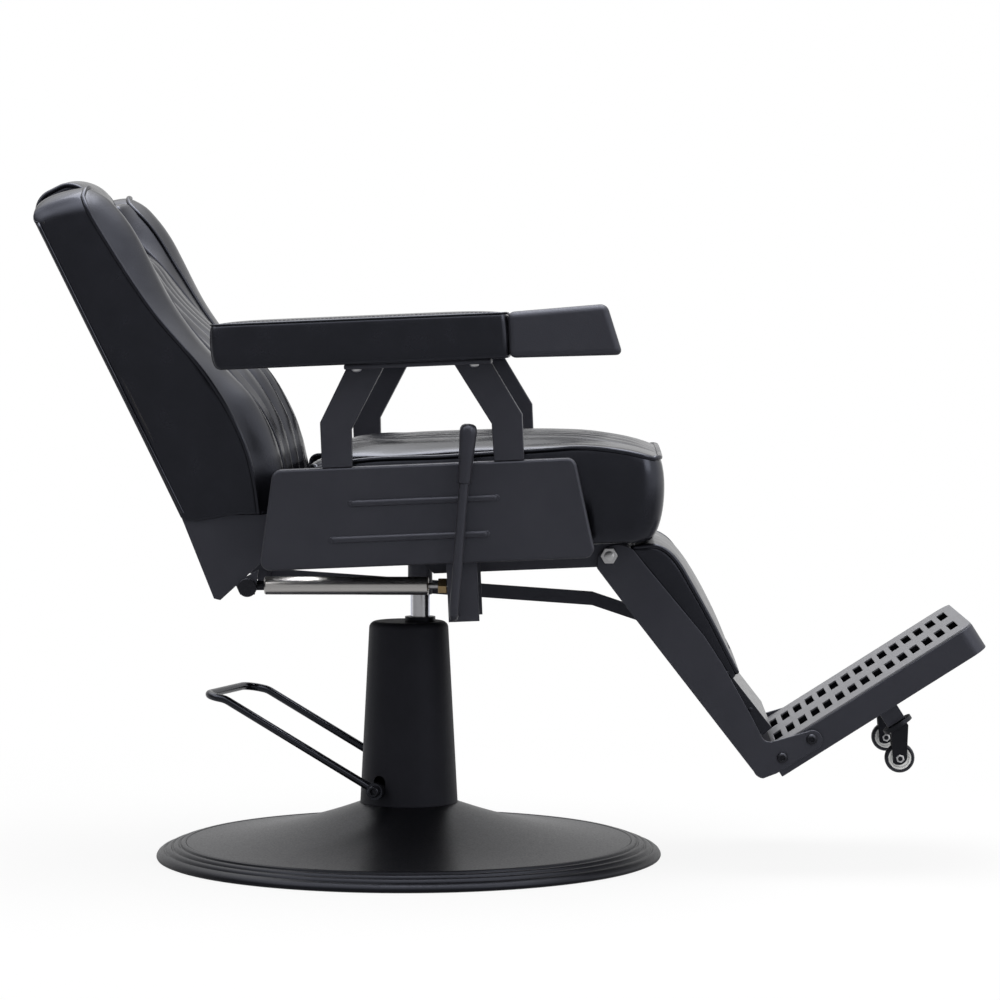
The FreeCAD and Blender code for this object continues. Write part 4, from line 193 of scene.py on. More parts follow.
CAMERA_PLACE = (0.266, -4.9, 0.70)
CAMERA_TARGET = (0.1197, 0, 0.4687)
bpy.ops.object.camera_add(location=CAMERA_PLACE)
camera = bpy.context.object
camera.name = "photo_camera"
camera.data.sensor_width = 36
camera.data.lens = 135
camera.rotation_euler = (Vector(CAMERA_TARGET) - Vector(CAMERA_PLACE)).to_track_quat("-Z", "Y").to_euler()
scene.camera = camera


# The base: a flat steel disc, a ring of ridges round it and a trumpet-shaped pressing over the pump's foot.
# All are steel sprayed satin black, which gives a soft wide highlight and a faint orange peel.
def start_material(name):
    """Make an empty material, and give it with its tree and its Object coordinates."""
    material = bpy.data.materials.new(name)
    material.use_nodes = True
    material.node_tree.nodes.clear()
    coordinates = add_node(material.node_tree, "ShaderNodeTexCoord")
    return material, material.node_tree, coordinates.outputs["Object"]


COOL_SHEEN = (0.78, 0.82, 1.0, 1.0)


def grained_finish(name, dark, pale, grain, roughness, relief, metallic=0.0, sheen=0.5):
    """Make a coat with a fine grain: two close tones, uneven gloss and a relief, its sizes in metres."""
    material, tree, place = start_material(name)
    fine = add_node(tree, "ShaderNodeTexNoise", {"Vector": place, "Scale": 1 / grain, "Detail": 3})
    broad = add_node(tree, "ShaderNodeTexNoise", {"Vector": place, "Scale": 1 / (grain * 40), "Detail": 2})
    tone = add_node(tree, "ShaderNodeValToRGB", {"Fac": broad.outputs["Fac"]})
    tone.color_ramp.elements[0].position = 0.3
    tone.color_ramp.elements[0].color = linear(dark)
    tone.color_ramp.elements[1].position = 0.7
    tone.color_ramp.elements[1].color = linear(pale)
    gloss = add_node(tree, "ShaderNodeMapRange", {
        "Value": fine.outputs["Fac"], "From Min": 0.3, "From Max": 0.7,
        "To Min": roughness - 0.05, "To Max": roughness + 0.05})
    bump = add_node(tree, "ShaderNodeBump", {
        "Height": fine.outputs["Fac"], "Strength": 0.5, "Distance": relief})
    shader = add_node(tree, "ShaderNodeBsdfPrincipled", {
        "Base Color": tone.outputs["Color"], "Roughness": gloss.outputs[0], "Normal": bump.outputs[0],
        "Metallic": metallic, "Specular IOR Level": sheen, "Specular Tint": COOL_SHEEN})
    add_node(tree, "ShaderNodeOutputMaterial", {"Surface": shader.outputs[0]})
    return material


def pick(piece):
    """Select one piece alone and make it the one that the operators work on."""
    bpy.ops.object.select_all(action="DESELECT")
    piece.select_set(True)
    bpy.context.view_layer.objects.active = piece


def apply_bevel(piece, width, segments, sharpest):
    """Round the edges of a piece that are sharper than an angle in degrees."""
    bevel = piece.modifiers.new("eased_edges", "BEVEL")
    bevel.width = width
    bevel.segments = segments
    bevel.angle_limit = math.radians(sharpest)
    bpy.ops.object.modifier_apply(modifier=bevel.name)


def fit(piece, material, body, slot, *hidden):
    """Give a finished piece its material and its body, and hide the solids that it stands for."""
    piece.data.materials.clear()
    piece.data.materials.append(material)
    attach(piece, body)
    if hidden:
        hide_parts(*hidden)


def copy_solid(node):
    """Copy a solid piece and merge its loose triangles."""
    pick(nodes[node])
    bpy.ops.object.duplicate()
    piece = bpy.context.object
    piece.name = f"{node}_finished"
    piece.parent = None
    del piece["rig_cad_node"]
    bpy.ops.mesh.customdata_custom_splitnormals_clear()
    bpy.ops.object.mode_set(mode="EDIT")
    bpy.ops.mesh.select_all(action="SELECT")
    bpy.ops.mesh.remove_doubles(threshold=1e-5)
    bpy.ops.object.mode_set(mode="OBJECT")
    return piece


def ease_edges(node, radius, material, sharpest=30):
    """Round the sharp edges of a copy of a solid piece, and let the copy stand for it."""
    piece = copy_solid(node)
    bpy.ops.object.mode_set(mode="EDIT")
    bpy.ops.mesh.dissolve_limited(angle_limit=math.radians(0.5))
    bpy.ops.object.mode_set(mode="OBJECT")
    apply_bevel(piece, radius, 2, sharpest)
    bpy.ops.object.shade_smooth_by_angle(angle=math.radians(50))
    flat = piece.modifiers.new("flat_faces", "WEIGHTED_NORMAL")
    flat.keep_sharp = True
    bpy.ops.object.modifier_apply(modifier=flat.name)
    fit(piece, material, nodes[node]["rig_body"], nodes[node].data.materials[0].name, node)


def add_mesh(name, points, edges, faces):
    """Make a piece of points with edges or faces, and pick it."""
    mesh = bpy.data.meshes.new(name)
    mesh.from_pydata(points, edges, faces)
    piece = bpy.data.objects.new(name, mesh)
    bpy.context.collection.objects.link(piece)
    pick(piece)
    return piece


def face_outwards():
    """Merge the doubled points of the picked piece and turn its faces outwards."""
    bpy.ops.object.mode_set(mode="EDIT")
    bpy.ops.mesh.select_all(action="SELECT")
    bpy.ops.mesh.remove_doubles(threshold=1e-6)
    bpy.ops.mesh.normals_make_consistent(inside=False)
    bpy.ops.object.mode_set(mode="OBJECT")


def turn_piece(name, outline, centre, axis, steps=64):
    """Turn an outline of (radius, height) points, in millimetres, round an axis into a smooth round piece."""
    axis = Vector(axis)
    spoke = axis.orthogonal().normalized()
    points = [Vector(centre) + (axis * height + spoke * radius) / 1000 for radius, height in outline]
    edges = [(at, at + 1) for at in range(len(points) - 1)]
    piece = add_mesh(name, points, edges, [])
    bpy.ops.object.mode_set(mode="EDIT")
    bpy.ops.mesh.select_all(action="SELECT")
    bpy.ops.mesh.spin(steps=steps, angle=2 * math.pi, center=centre, axis=axis)
    bpy.ops.object.mode_set(mode="OBJECT")
    face_outwards()
    bpy.ops.object.shade_smooth_by_angle(angle=math.radians(40))
    return piece


satin_paint = grained_finish("satin_black_enamel", "#0d0d10", "#111114", 0.0025, 0.36, 0.0001, sheen=0.22)
ease_edges("base_plate", 0.0008, satin_paint)
RIM_OUTLINE = [(292, 3), (292, 21), (293.2, 22.4), (296, 22.6), (298.4, 21.4), (299.4, 18.8), (301, 18.2),
               (303.2, 19.8), (306, 19.6), (308, 18), (309, 15.4), (310.6, 14.8), (312.8, 16.4), (315.6, 16),
               (317.6, 14.2), (318.6, 11.8), (320.2, 11.2), (322.4, 12.4), (325.6, 11.4), (329, 8.6),
               (330.8, 5.4), (331, 3.4), (330, 1.4), (327, 0.2), (322, 0), (316, 2), (296, 3), (292, 3)]
rim = turn_piece("base_rim_ridges", RIM_OUTLINE, (0, 0, 0), (0, 0, 1), 128)
fit(rim, satin_paint, "base", "base_paint", "base_rim")
ease_edges("base_cover", 0.0008, satin_paint)

# The column: a hydraulic pump in a black cast casing, hidden by a tapered shroud moulded in ABS.
# The shroud has a spark-eroded grain, so it is matt; it stands loose on the cover, round the pump.
moulded_abs = grained_finish("moulded_abs", "#1d1d21", "#222227", 0.0018, 0.54, 0.00012, sheen=0.2)
ease_edges("pump_casing", 0.001, satin_paint)
ease_edges("column_shroud", 0.0012, moulded_abs)

# The pedal: one bent steel rod with an eye at each end, on a cross shaft with a socket bolt in each end.
# Rod and shaft are gloss enamelled; the bolts are blackened steel.
gloss_coat = grained_finish("gloss_black_enamel", "#101013", "#151518", 0.008, 0.22, 0.00002)
blackened_steel = grained_finish("blackened_steel", "#1c1c1f", "#262629", 0.002, 0.30, 0.00005, 0.5)


def smooth_rod(node, material):
    """Let a copy of a rod stand for it, shaded smoothly round and along its bends."""
    rod = copy_solid(node)
    bpy.ops.object.mode_set(mode="EDIT")
    bpy.ops.mesh.tris_convert_to_quads()
    bpy.ops.object.mode_set(mode="OBJECT")
    bpy.ops.object.shade_smooth_by_angle(angle=math.radians(50))
    fit(rod, material, nodes[node]["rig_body"], nodes[node].data.materials[0].name, node)


smooth_rod("pedal_loop", gloss_coat)
smooth_rod("pedal_shaft", gloss_coat)
SHAFT_MIDDLE = Vector((-0.01812, 0.00571, 0.093))
SHAFT_WAY = Vector((-0.3007, -0.9537, 0))
SHAFT_HALF = 0.0775
SOCKET_OUTLINE = [(0, 1.6), (3.4, 1.6), (3.6, 5.2), (4, 5.8), (6.4, 6), (7.2, 5.4), (7.5, 4.6), (7.5, 0),
                  (0, 0)]
for side, way in (("right", SHAFT_WAY), ("left", -SHAFT_WAY)):
    bolt = turn_piece(f"pedal_bolt_{side}", SOCKET_OUTLINE, SHAFT_MIDDLE + way * SHAFT_HALF, way, 32)
    fit(bolt, blackened_steel, "pedal", "dark_steel", "pedal_bolts")

# The piston: a ground and hard-chromed steel rod that rises out of the pump and carries the seat.
chrome = grained_finish("hard_chromed_steel", "#d2d2d7", "#dcdce0", 0.003, 0.18, 0.00001, 1.0)
ease_edges("piston_rod", 0.0008, chrome)

# The seat's frame: a hub welded to a plate, two folded rails and two cross tubes, all powder coated with a
# fine orange peel. The seat board is birch plywood, stained black, screwed down on the rails.
powder_coat = grained_finish("powder_coated_steel", "#29292e", "#2e2e33", 0.0016, 0.42, 0.00015)
stained_birch = grained_finish("black_stained_birch_plywood", "#1c1a18", "#2a2622", 0.002, 0.6, 0.0002)
for node in ("swivel_hub", "mount_plate", "frame_rail_left", "frame_rail_right", "frame_cross_front",
             "frame_cross_rear"):
    ease_edges(node, 0.001, powder_coat)
ease_edges("seat_board", 0.001, stained_birch)

# The recline lock: a brushed steel tube with a black eye, and in it a zinc-plated rod with a brass nut.
# A folded sheet bracket under the right panel carries its front end.
BRUSH_LENGTH = 0.03
BRUSH_WIDTH = 0.0008
brushed_steel, tree, place = start_material("brushed_steel")
strokes = add_node(tree, "ShaderNodeMapping", {
    "Vector": place, "Scale": (1 / BRUSH_LENGTH, 1 / BRUSH_WIDTH, 1 / BRUSH_WIDTH)})
scratches = add_node(tree, "ShaderNodeTexNoise", {"Vector": strokes.outputs[0], "Scale": 1.0, "Detail": 3})
tone = add_node(tree, "ShaderNodeValToRGB", {"Fac": scratches.outputs["Fac"]})
tone.color_ramp.elements[0].color = linear("#d0cdcb")
tone.color_ramp.elements[1].color = linear("#e8e6e4")
gloss = add_node(tree, "ShaderNodeMapRange", {
    "Value": scratches.outputs["Fac"], "To Min": 0.22, "To Max": 0.38})
bump = add_node(tree, "ShaderNodeBump", {
    "Height": scratches.outputs["Fac"], "Strength": 0.3, "Distance": 0.00004})
shader = add_node(tree, "ShaderNodeBsdfPrincipled", {
    "Base Color": tone.outputs["Color"], "Roughness": gloss.outputs[0], "Normal": bump.outputs[0],
    "Metallic": 1.0})
add_node(tree, "ShaderNodeOutputMaterial", {"Surface": shader.outputs[0]})
zinc_plate = grained_finish("zinc_plated_steel", "#d6d6d8", "#e2e2e4", 0.003, 0.42, 0.00003, 1.0)
turned_brass = grained_finish("turned_brass", "#b59c74", "#c6ad84", 0.003, 0.32, 0.00003, 1.0)
ease_edges("lock_bracket", 0.0015, powder_coat)
ease_edges("lock_tube", 0.0008, brushed_steel)
ease_edges("lock_rod", 0.0005, zinc_plate)
ease_edges("lock_nut", 0.0007, turned_brass)
ease_edges("lock_eye", 0.0008, blackened_steel)

# The recline lever: a powder-coated rod bent out of its cross shaft, with a tapered grip pushed on its end.
# The grip is moulded soft PVC with a domed end and a fine satin grain.
soft_grip = grained_finish("moulded_soft_pvc", "#2a2a2f", "#303036", 0.0018, 0.36, 0.0001)
smooth_rod("lever_rod", powder_coat)
GRIP_OUTLINE = [(0, -3), (7, -3), (7.9, -2.4), (8.2, -1), (8.3, 2), (8.8, 20), (9.8, 42), (10.7, 57),
                (10.8, 61), (10.2, 65), (8.6, 68), (5.5, 69.8), (0, 70.4)]
ROD_END = (0.0855, -0.318, 0.507)
ROD_WAY = Vector((13.5, 0, 167)).normalized()
lever_grip = turn_piece("lever_grip_turned", GRIP_OUTLINE, ROD_END, ROD_WAY, 40)
fit(lever_grip, soft_grip, "lever", "grip_plastic", "lever_grip")

# The side panels: shallow trays pressed from sheet steel, with round corners and two beads on the outside.
# They hang on the cross tubes' ends and are powder coated.
SIDES = (("left", 1), ("right", -1))
SEAT = (0, 401.4, 2.4)      # the seat frame's origin, forward and up, and its slope in degrees
PANEL_FACE = 300
BEAD_RISE = 3
BEAD_HALF = 4.2
BEAD_ROWS, BEAD_COLUMNS = 61, 25
BEADS = {"upper": (79, -52, 129), "lower": (35, -78, 115)}


def stand(points, datum):
    """Turn points (forward, across, up) of a sloping frame, in millimetres, into places in metres."""
    origin_x, origin_z, slope = datum
    turn = math.radians(slope)
    forward, across, up = points[..., 0], points[..., 1], points[..., 2]
    x = origin_x + forward * math.cos(turn) - up * math.sin(turn)
    z = origin_z + forward * math.sin(turn) + up * math.cos(turn)
    return np.stack([x, across, z], axis=-1) / 1000


def squares_of(rows, columns, kept=None):
    """List the squares of a grid by the numbers of their corners, all of them or the kept ones."""
    index = np.arange(rows * columns).reshape(rows, columns)
    squares = np.stack([index[:-1, :-1], index[:-1, 1:], index[1:, 1:], index[1:, :-1]], axis=-1)
    return squares.reshape(-1, 4) if kept is None else squares[kept]


for side, sign in SIDES:
    ease_edges(f"side_panel_{side}", 0.0022, powder_coat)
    for bead_name, (level, rear, front) in BEADS.items():
        share, turn = np.meshgrid(np.sin(np.linspace(-np.pi / 2, np.pi / 2, BEAD_ROWS)),
                                  np.linspace(0, 2 * np.pi, BEAD_COLUMNS), indexing="ij")
        along = share * (front - rear) / 2
        over = np.clip((np.abs(along) - (front - rear) / 2 + BEAD_HALF) / BEAD_HALF, 0, 1)
        size = np.sqrt(1 - over**2)
        points = np.stack([along + (front + rear) / 2, sign * (PANEL_FACE + BEAD_RISE * size * np.sin(turn)),
                           level + BEAD_HALF * size * np.cos(turn)], axis=-1)
        places = stand(points, SEAT).reshape(-1, 3).tolist()
        bead = add_mesh(f"panel_bead_{side}_{bead_name}", places, [],
                        squares_of(BEAD_ROWS, BEAD_COLUMNS).tolist())
        face_outwards()
        bpy.ops.object.shade_smooth()
        fit(bead, powder_coat, "seat", "frame_paint")

# The arm posts: kneed flat bars welded to a strip that is screwed up into the arm pad from below.
# Posts and strip are powder coated, and the pan-head screws are zinc plated.
STRIP_REAR, STRIP_FRONT = -51, 129
STRIP_HALF = 30
STRIP_THICKNESS = 6
PAD_SOLE = 250
PAD_MIDDLE = 298.5
SCREW_PLACES = (-36, 108)
SCREW_OFFSET = 22
SCREW_OUTLINE = [(0, -4), (2, -3.8), (4.4, -3), (5.8, -1.6), (6, 0), (0, 0)]
for side, sign in SIDES:
    ease_edges(f"arm_post_front_{side}", 0.0014, powder_coat)
    ease_edges(f"arm_post_rear_{side}", 0.0014, powder_coat)
    bpy.ops.mesh.primitive_cube_add(size=1)
    strip = bpy.context.object
    strip.name = f"arm_strip_{side}"
    corners = np.array([corner.co for corner in strip.data.vertices])
    corners = corners * (STRIP_FRONT - STRIP_REAR, 2 * STRIP_HALF, STRIP_THICKNESS)
    corners += ((STRIP_FRONT + STRIP_REAR) / 2, sign * PAD_MIDDLE, PAD_SOLE - STRIP_THICKNESS / 2)
    strip.data.vertices.foreach_set("co", stand(corners, SEAT).ravel())
    apply_bevel(strip, 0.0015, 2, 30)
    bpy.ops.object.shade_smooth_by_angle(angle=math.radians(40))
    fit(strip, powder_coat, "seat", "frame_paint")
    for number, along in enumerate(SCREW_PLACES):
        head = np.array((along, sign * (PAD_MIDDLE + SCREW_OFFSET), PAD_SOLE - STRIP_THICKNESS))
        screw = turn_piece(f"arm_screw_{side}_{number}", SCREW_OUTLINE, stand(head, SEAT), (0, 0, 1), 24)
        fit(screw, zinc_plate, "seat", "zinc_steel")

# The seat cushion: moulded foam under black polyurethane leather, sewn in panels with piping in the seams.
# It has five sewn channels between plain bolsters, and a roll over the front edge of the board.
LEATHER_PEBBLE = 0.002      # 1 mm in truth, drawn coarser so that it shows
LEATHER_CREASE = 0.03
leather, tree, place = start_material("black_polyurethane_leather")
pebbles = add_node(tree, "ShaderNodeTexVoronoi", {"Vector": place, "Scale": 1 / LEATHER_PEBBLE},
                   feature="DISTANCE_TO_EDGE")
creases = add_node(tree, "ShaderNodeTexNoise", {"Vector": place, "Scale": 1 / LEATHER_CREASE, "Detail": 4})
tone = add_node(tree, "ShaderNodeValToRGB", {"Fac": creases.outputs["Fac"]})
tone.color_ramp.elements[0].position = 0.3
tone.color_ramp.elements[0].color = linear("#0e0e11")
tone.color_ramp.elements[1].position = 0.7
tone.color_ramp.elements[1].color = linear("#131317")
gloss = add_node(tree, "ShaderNodeMapRange", {
    "Value": creases.outputs["Fac"], "From Min": 0.3, "From Max": 0.7, "To Min": 0.19, "To Max": 0.28})
grain = add_node(tree, "ShaderNodeBump", {
    "Height": pebbles.outputs["Distance"], "Strength": 0.18, "Distance": 0.0002})
pull = add_node(tree, "ShaderNodeBump", {
    "Height": creases.outputs["Fac"], "Strength": 0.3, "Distance": 0.001, "Normal": grain.outputs[0]})
shader = add_node(tree, "ShaderNodeBsdfPrincipled", {
    "Base Color": tone.outputs["Color"], "Roughness": gloss.outputs[0], "Normal": pull.outputs[0],
    "Specular Tint": COOL_SHEEN})
add_node(tree, "ShaderNodeOutputMaterial", {"Surface": shader.outputs[0]})


def smooth_path(points, count):
    """Give places at even steps along a smooth line through points."""
    points = np.array(points, float)
    knots = np.concatenate([[0], np.cumsum(np.linalg.norm(np.diff(points, axis=0), axis=1))])
    slopes = np.gradient(points, knots, axis=0)
    fine = np.linspace(0, knots[-1], 40 * len(points))
    first = np.clip(np.searchsorted(knots, fine, side="right") - 1, 0, len(points) - 2)
    width = (knots[first + 1] - knots[first])[:, None]
    t = (fine - knots[first])[:, None] / width
    line = ((2 * t**3 - 3 * t**2 + 1) * points[first] + (t**3 - 2 * t**2 + t) * width * slopes[first]
            + (3 * t**2 - 2 * t**3) * points[first + 1] + (t**3 - t**2) * width * slopes[first + 1])
    run = np.concatenate([[0], np.cumsum(np.linalg.norm(np.diff(line, axis=0), axis=1))])
    steps = np.linspace(0, run[-1], count)
    return np.stack([np.interp(steps, run, line[:, axis]) for axis in range(points.shape[1])], axis=1)


def height_along(points, at):
    """Read a smooth line through points, each a place and a height, at some places."""
    line = smooth_path(sorted(points), 300)
    return np.interp(at, line[:, 0], line[:, 1])


def round_corners(x, y, half_x, half_y, radius):
    """Pull the corners of a rectangular grid in to a radius."""
    over_x = np.clip((np.abs(x) - half_x + radius) / radius, 0, 1)
    over_y = np.clip((np.abs(y) - half_y + radius) / radius, 0, 1)
    both = (over_x > 0) & (over_y > 0)
    new_x = np.where(both, np.sign(x) * (half_x - radius + radius * over_x * np.sqrt(1 - over_y**2 / 2)), x)
    new_y = np.where(both, np.sign(y) * (half_y - radius + radius * over_y * np.sqrt(1 - over_x**2 / 2)), y)
    return new_x, new_y


def rim_of(grid, kept=None):
    """List what lies round the edge of a grid, or of its kept squares, in order."""
    rows, columns = grid.shape[:2]
    squares = squares_of(rows, columns, kept).tolist()
    edges = {(square[at - 1], square[at]) for square in squares for at in range(4)}
    follows = {first: last for first, last in edges if (last, first) not in edges}
    loop = [min(follows)]
    while follows[loop[-1]] != loop[0]:
        loop.append(follows[loop[-1]])
    return grid.reshape(rows * columns, -1)[loop].squeeze()


def sew_cushion(name, front, back, bulge, band_rows=6, kept=None, straight=0.0):
    """Sew two panels, grids of places, into a closed piece by a band that bulges.

    The band rounds into the back panel, or runs straight to it where straight is 1.
    """
    rows, columns = front.shape[:2]
    index = np.arange(rows * columns).reshape(rows, columns)
    front_rim, back_rim = rim_of(front, kept), rim_of(back, kept)
    along = np.roll(front_rim, -1, axis=0) - np.roll(front_rim, 1, axis=0)
    out = np.cross(along, back_rim - front_rim)
    out /= np.linalg.norm(out, axis=1)[:, None] + 1e-9
    middle = front.reshape(-1, 3).mean(axis=0)
    out *= np.sign(np.sum(out * (front_rim - middle), axis=1).mean())
    reach = back_rim - front_rim
    depth_way = reach.mean(axis=0) / np.linalg.norm(reach.mean(axis=0))
    deep = np.outer(reach @ depth_way, depth_way)
    points = [front.reshape(-1, 3)]
    rings = [rim_of(index, kept)]
    made = rows * columns
    for row in range(1, band_rows + 1):
        turn = math.pi / 2 * (row / (band_rows + 1)) ** 2
        depth = math.sin(turn) ** 0.5
        inset = 1 - math.cos(turn) ** 0.5
        swell = (4 * depth * (1 - depth)) ** 0.7
        drawn_in = inset + (depth - inset) * np.reshape(straight, (-1, 1))
        ring = front_rim + depth * deep + drawn_in * (reach - deep) + out * np.reshape(bulge, (-1, 1)) * swell
        points.append(ring)
        rings.append(np.arange(made, made + len(ring)))
        made += len(ring)
    points.append(back.reshape(-1, 3))
    rings.append(rim_of(index, kept) + made)
    faces = squares_of(rows, columns, kept).tolist() + (squares_of(rows, columns, kept) + made).tolist()
    for upper, lower in zip(rings[:-1], rings[1:]):
        faces += np.stack([upper, np.roll(upper, -1), np.roll(lower, -1), lower], axis=1).tolist()
    piece = add_mesh(name, np.concatenate(points).tolist(), [], faces)
    held = piece.vertex_groups.new(name="sewn")
    held.add(np.concatenate([rings[0], rings[-1], (index + made).ravel()]).tolist(), 1.0, "REPLACE")
    bpy.ops.object.mode_set(mode="EDIT")
    bpy.ops.mesh.select_all(action="SELECT")
    bpy.ops.mesh.delete_loose()
    bpy.ops.mesh.select_all(action="SELECT")
    bpy.ops.mesh.normals_make_consistent(inside=False)
    bpy.ops.object.mode_set(mode="OBJECT")
    return piece


SMOOTHINGS = 12


def plump(piece, most):
    """Fill a sewn cushion by cloth simulation, each point moving evenly by the given distance at most."""
    start = np.zeros(len(piece.data.vertices) * 3)
    piece.data.vertices.foreach_get("co", start)
    cloth = piece.modifiers.new("filling", "CLOTH")
    cloth.settings.use_pressure = True
    cloth.settings.uniform_pressure_force = 4
    cloth.settings.effector_weights.gravity = 0
    cloth.settings.vertex_group_mass = "sewn"
    cloth.settings.quality = 4
    for step in range(1, 21):
        scene.frame_set(step)
    pick(piece)
    bpy.ops.object.modifier_apply(modifier=cloth.name)
    scene.frame_set(1)
    filled = np.zeros_like(start)
    piece.data.vertices.foreach_get("co", filled)
    moved = (filled - start).reshape(-1, 3)
    length = np.linalg.norm(moved, axis=1)[:, None]
    moved *= np.minimum(1, most / np.maximum(length, 1e-9))
    ends = np.zeros(len(piece.data.edges) * 2, int)
    piece.data.edges.foreach_get("vertices", ends)
    first, last = ends.reshape(-1, 2).T
    neighbours = np.bincount(ends, minlength=len(moved))[:, None]
    for _ in range(SMOOTHINGS):
        total = moved.copy()
        np.add.at(total, first, moved[last])
        np.add.at(total, last, moved[first])
        moved = np.where(length < 1e-7, 0, total / (1 + neighbours))
    piece.data.vertices.foreach_set("co", (start.reshape(-1, 3) + moved).ravel())
    soft = piece.modifiers.new("rounded", "SUBSURF")
    soft.levels = 1
    soft.render_levels = 1
    pick(piece)
    bpy.ops.object.modifier_apply(modifier=soft.name)
    bpy.ops.object.shade_smooth()


def upholster(piece, body, fill, *hidden):
    """Cover a filled cushion with leather, fix it to its body, and let it stand for solid pieces."""
    fit(piece, leather, body, "leather", *hidden)


def run_piping(name, line, radius, body, closed=False):
    """Lay a leather-covered cord along a seam, as a round tube."""
    curve = bpy.data.curves.new(name, "CURVE")
    curve.dimensions = "3D"
    curve.bevel_depth = radius
    curve.bevel_resolution = 3
    curve.use_fill_caps = True
    spline = curve.splines.new("POLY")
    spline.points.add(len(line) - 1)
    for point, spot in zip(spline.points, line):
        point.co = (*spot, 1)
    spline.use_cyclic_u = closed
    cord = bpy.data.objects.new(name, curve)
    bpy.context.collection.objects.link(cord)
    pick(cord)
    bpy.ops.object.convert(target="MESH")
    bpy.ops.object.shade_smooth()
    fit(cord, leather, body, "leather")


PIPING = 0.0032
SEAT_HALF = 262
SEAT_REAR = -103
SEAT_BROW = 331
SEAT_LIP = 308
SEAT_SOLE = 38.5
ROLL_SOLE = 14
ROLL_REAR = 234
SEAT_CORNER = 26
CHANNEL_PITCH = 60
CHANNEL_DEPTH = 6
BOLSTER_SEAM = 2.5 * CHANNEL_PITCH
SIDE_BULGE = 4
FRONT_BULGE = 5
FRONT_BULGE_FROM, FRONT_BULGE_RUN = 290, 40
REAR_BULGE_FROM, REAR_BULGE_RUN = -80, 20
SHOULDER = 15
SHOULDER_SHARE = 0.45
BRINK_STEPS = (0, 1.5, 4, 7.5, 11)
SEAT_SOLE_SHARE = 0.965
SEAM_HALF = 10
CHANNEL_FADE = 40
SEAT_EDGE = [(-103, 120), (-59, 128), (68, 130.5), (196, 134), (228, 135), (268, 131), (308, 122), (331, 114)]
SEAT_CROWN = [(-103, 126), (-84, 148), (0, 150), (60, 150), (160, 148), (200, 146), (261, 140), (300, 133),
              (331, 121)]
half_length = (SEAT_BROW - SEAT_REAR) / 2
brink = SEAT_HALF - np.array(BRINK_STEPS)
y_lines = np.concatenate([-brink, np.linspace(SHOULDER - SEAT_HALF, SEAT_HALF - SHOULDER, 93), brink[::-1]])
x, y = np.meshgrid(np.linspace(-half_length, half_length, 64), y_lines, indexing="ij")
over = np.clip((np.abs(y) - SEAT_HALF + SHOULDER) / SHOULDER, 0, 1)
x, y = round_corners(x, y, half_length, SEAT_HALF, SEAT_CORNER)
x = x + (SEAT_BROW + SEAT_REAR) / 2
edge = height_along(SEAT_EDGE, x)
crown = height_along(SEAT_CROWN, x)
swell = SHOULDER_SHARE * np.sqrt(1 - over**2) + (1 - SHOULDER_SHARE) * (1 - np.abs(y / SEAT_HALF) ** 3.2)
z = edge + (crown - edge) * swell
channels = np.abs(np.cos(np.pi * y / CHANNEL_PITCH)) ** 0.6 - 1
bolsters = -np.exp(-((np.abs(y) - BOLSTER_SEAM) / SEAM_HALF) ** 2)
fade = np.clip((SEAT_BROW - x) / CHANNEL_FADE, 0.25, 1) * np.clip((x - SEAT_REAR) / CHANNEL_FADE, 0.25, 1)
z += CHANNEL_DEPTH * fade * np.where(np.abs(y) < BOLSTER_SEAM, channels, bolsters)
top = np.stack([x, y, z], axis=-1)
sole_x = (x - SEAT_REAR) / (SEAT_BROW - SEAT_REAR) * (SEAT_LIP - SEAT_REAR) + SEAT_REAR
sole = np.stack([sole_x, y * SEAT_SOLE_SHARE, np.where(sole_x < ROLL_REAR, SEAT_SOLE, ROLL_SOLE)], axis=-1)
at_front = np.clip((rim_of(x) - FRONT_BULGE_FROM) / FRONT_BULGE_RUN, 0, 1)
at_rear = np.clip((REAR_BULGE_FROM - rim_of(x)) / REAR_BULGE_RUN, 0, 1)
bulge = (SIDE_BULGE + FRONT_BULGE * at_front - SIDE_BULGE * at_rear) / 1000
seat_top = stand(top, SEAT)
seat_cushion = sew_cushion("seat_cushion_leather", seat_top, stand(sole, SEAT), bulge, 9)
plump(seat_cushion, 0.004)
upholster(seat_cushion, "seat", 0.85, "seat_cushion")
run_piping("seat_piping", rim_of(seat_top), PIPING, "seat", True)

# The arm pads: foam on a board in a box of leather, with a topstitched seam round the top panel.
# The rear end is tucked under, and the front end butts against the hand rest.
PAD_REAR = -211
PAD_SEAM = 151
PAD_HALF = 45.5
PAD_SIDE = 305
PAD_CROWN = 4.5
PAD_CORNER = 9
PAD_TUCK = 10
PAD_SOLE_SHARE = 0.93
PAD_BULGE = 1.5
PAD_BULGE_FROM, PAD_BULGE_RUN = 14, 10
PAD_SEAM_RADIUS = 0.0012
STITCH_PITCH = 0.0052
STITCH_LENGTH = 0.0036
STITCH_RADIUS = 0.0004
thread = grained_finish("black_polyester_thread", "#1d1d21", "#242428", 0.0006, 0.55, 0.0001)


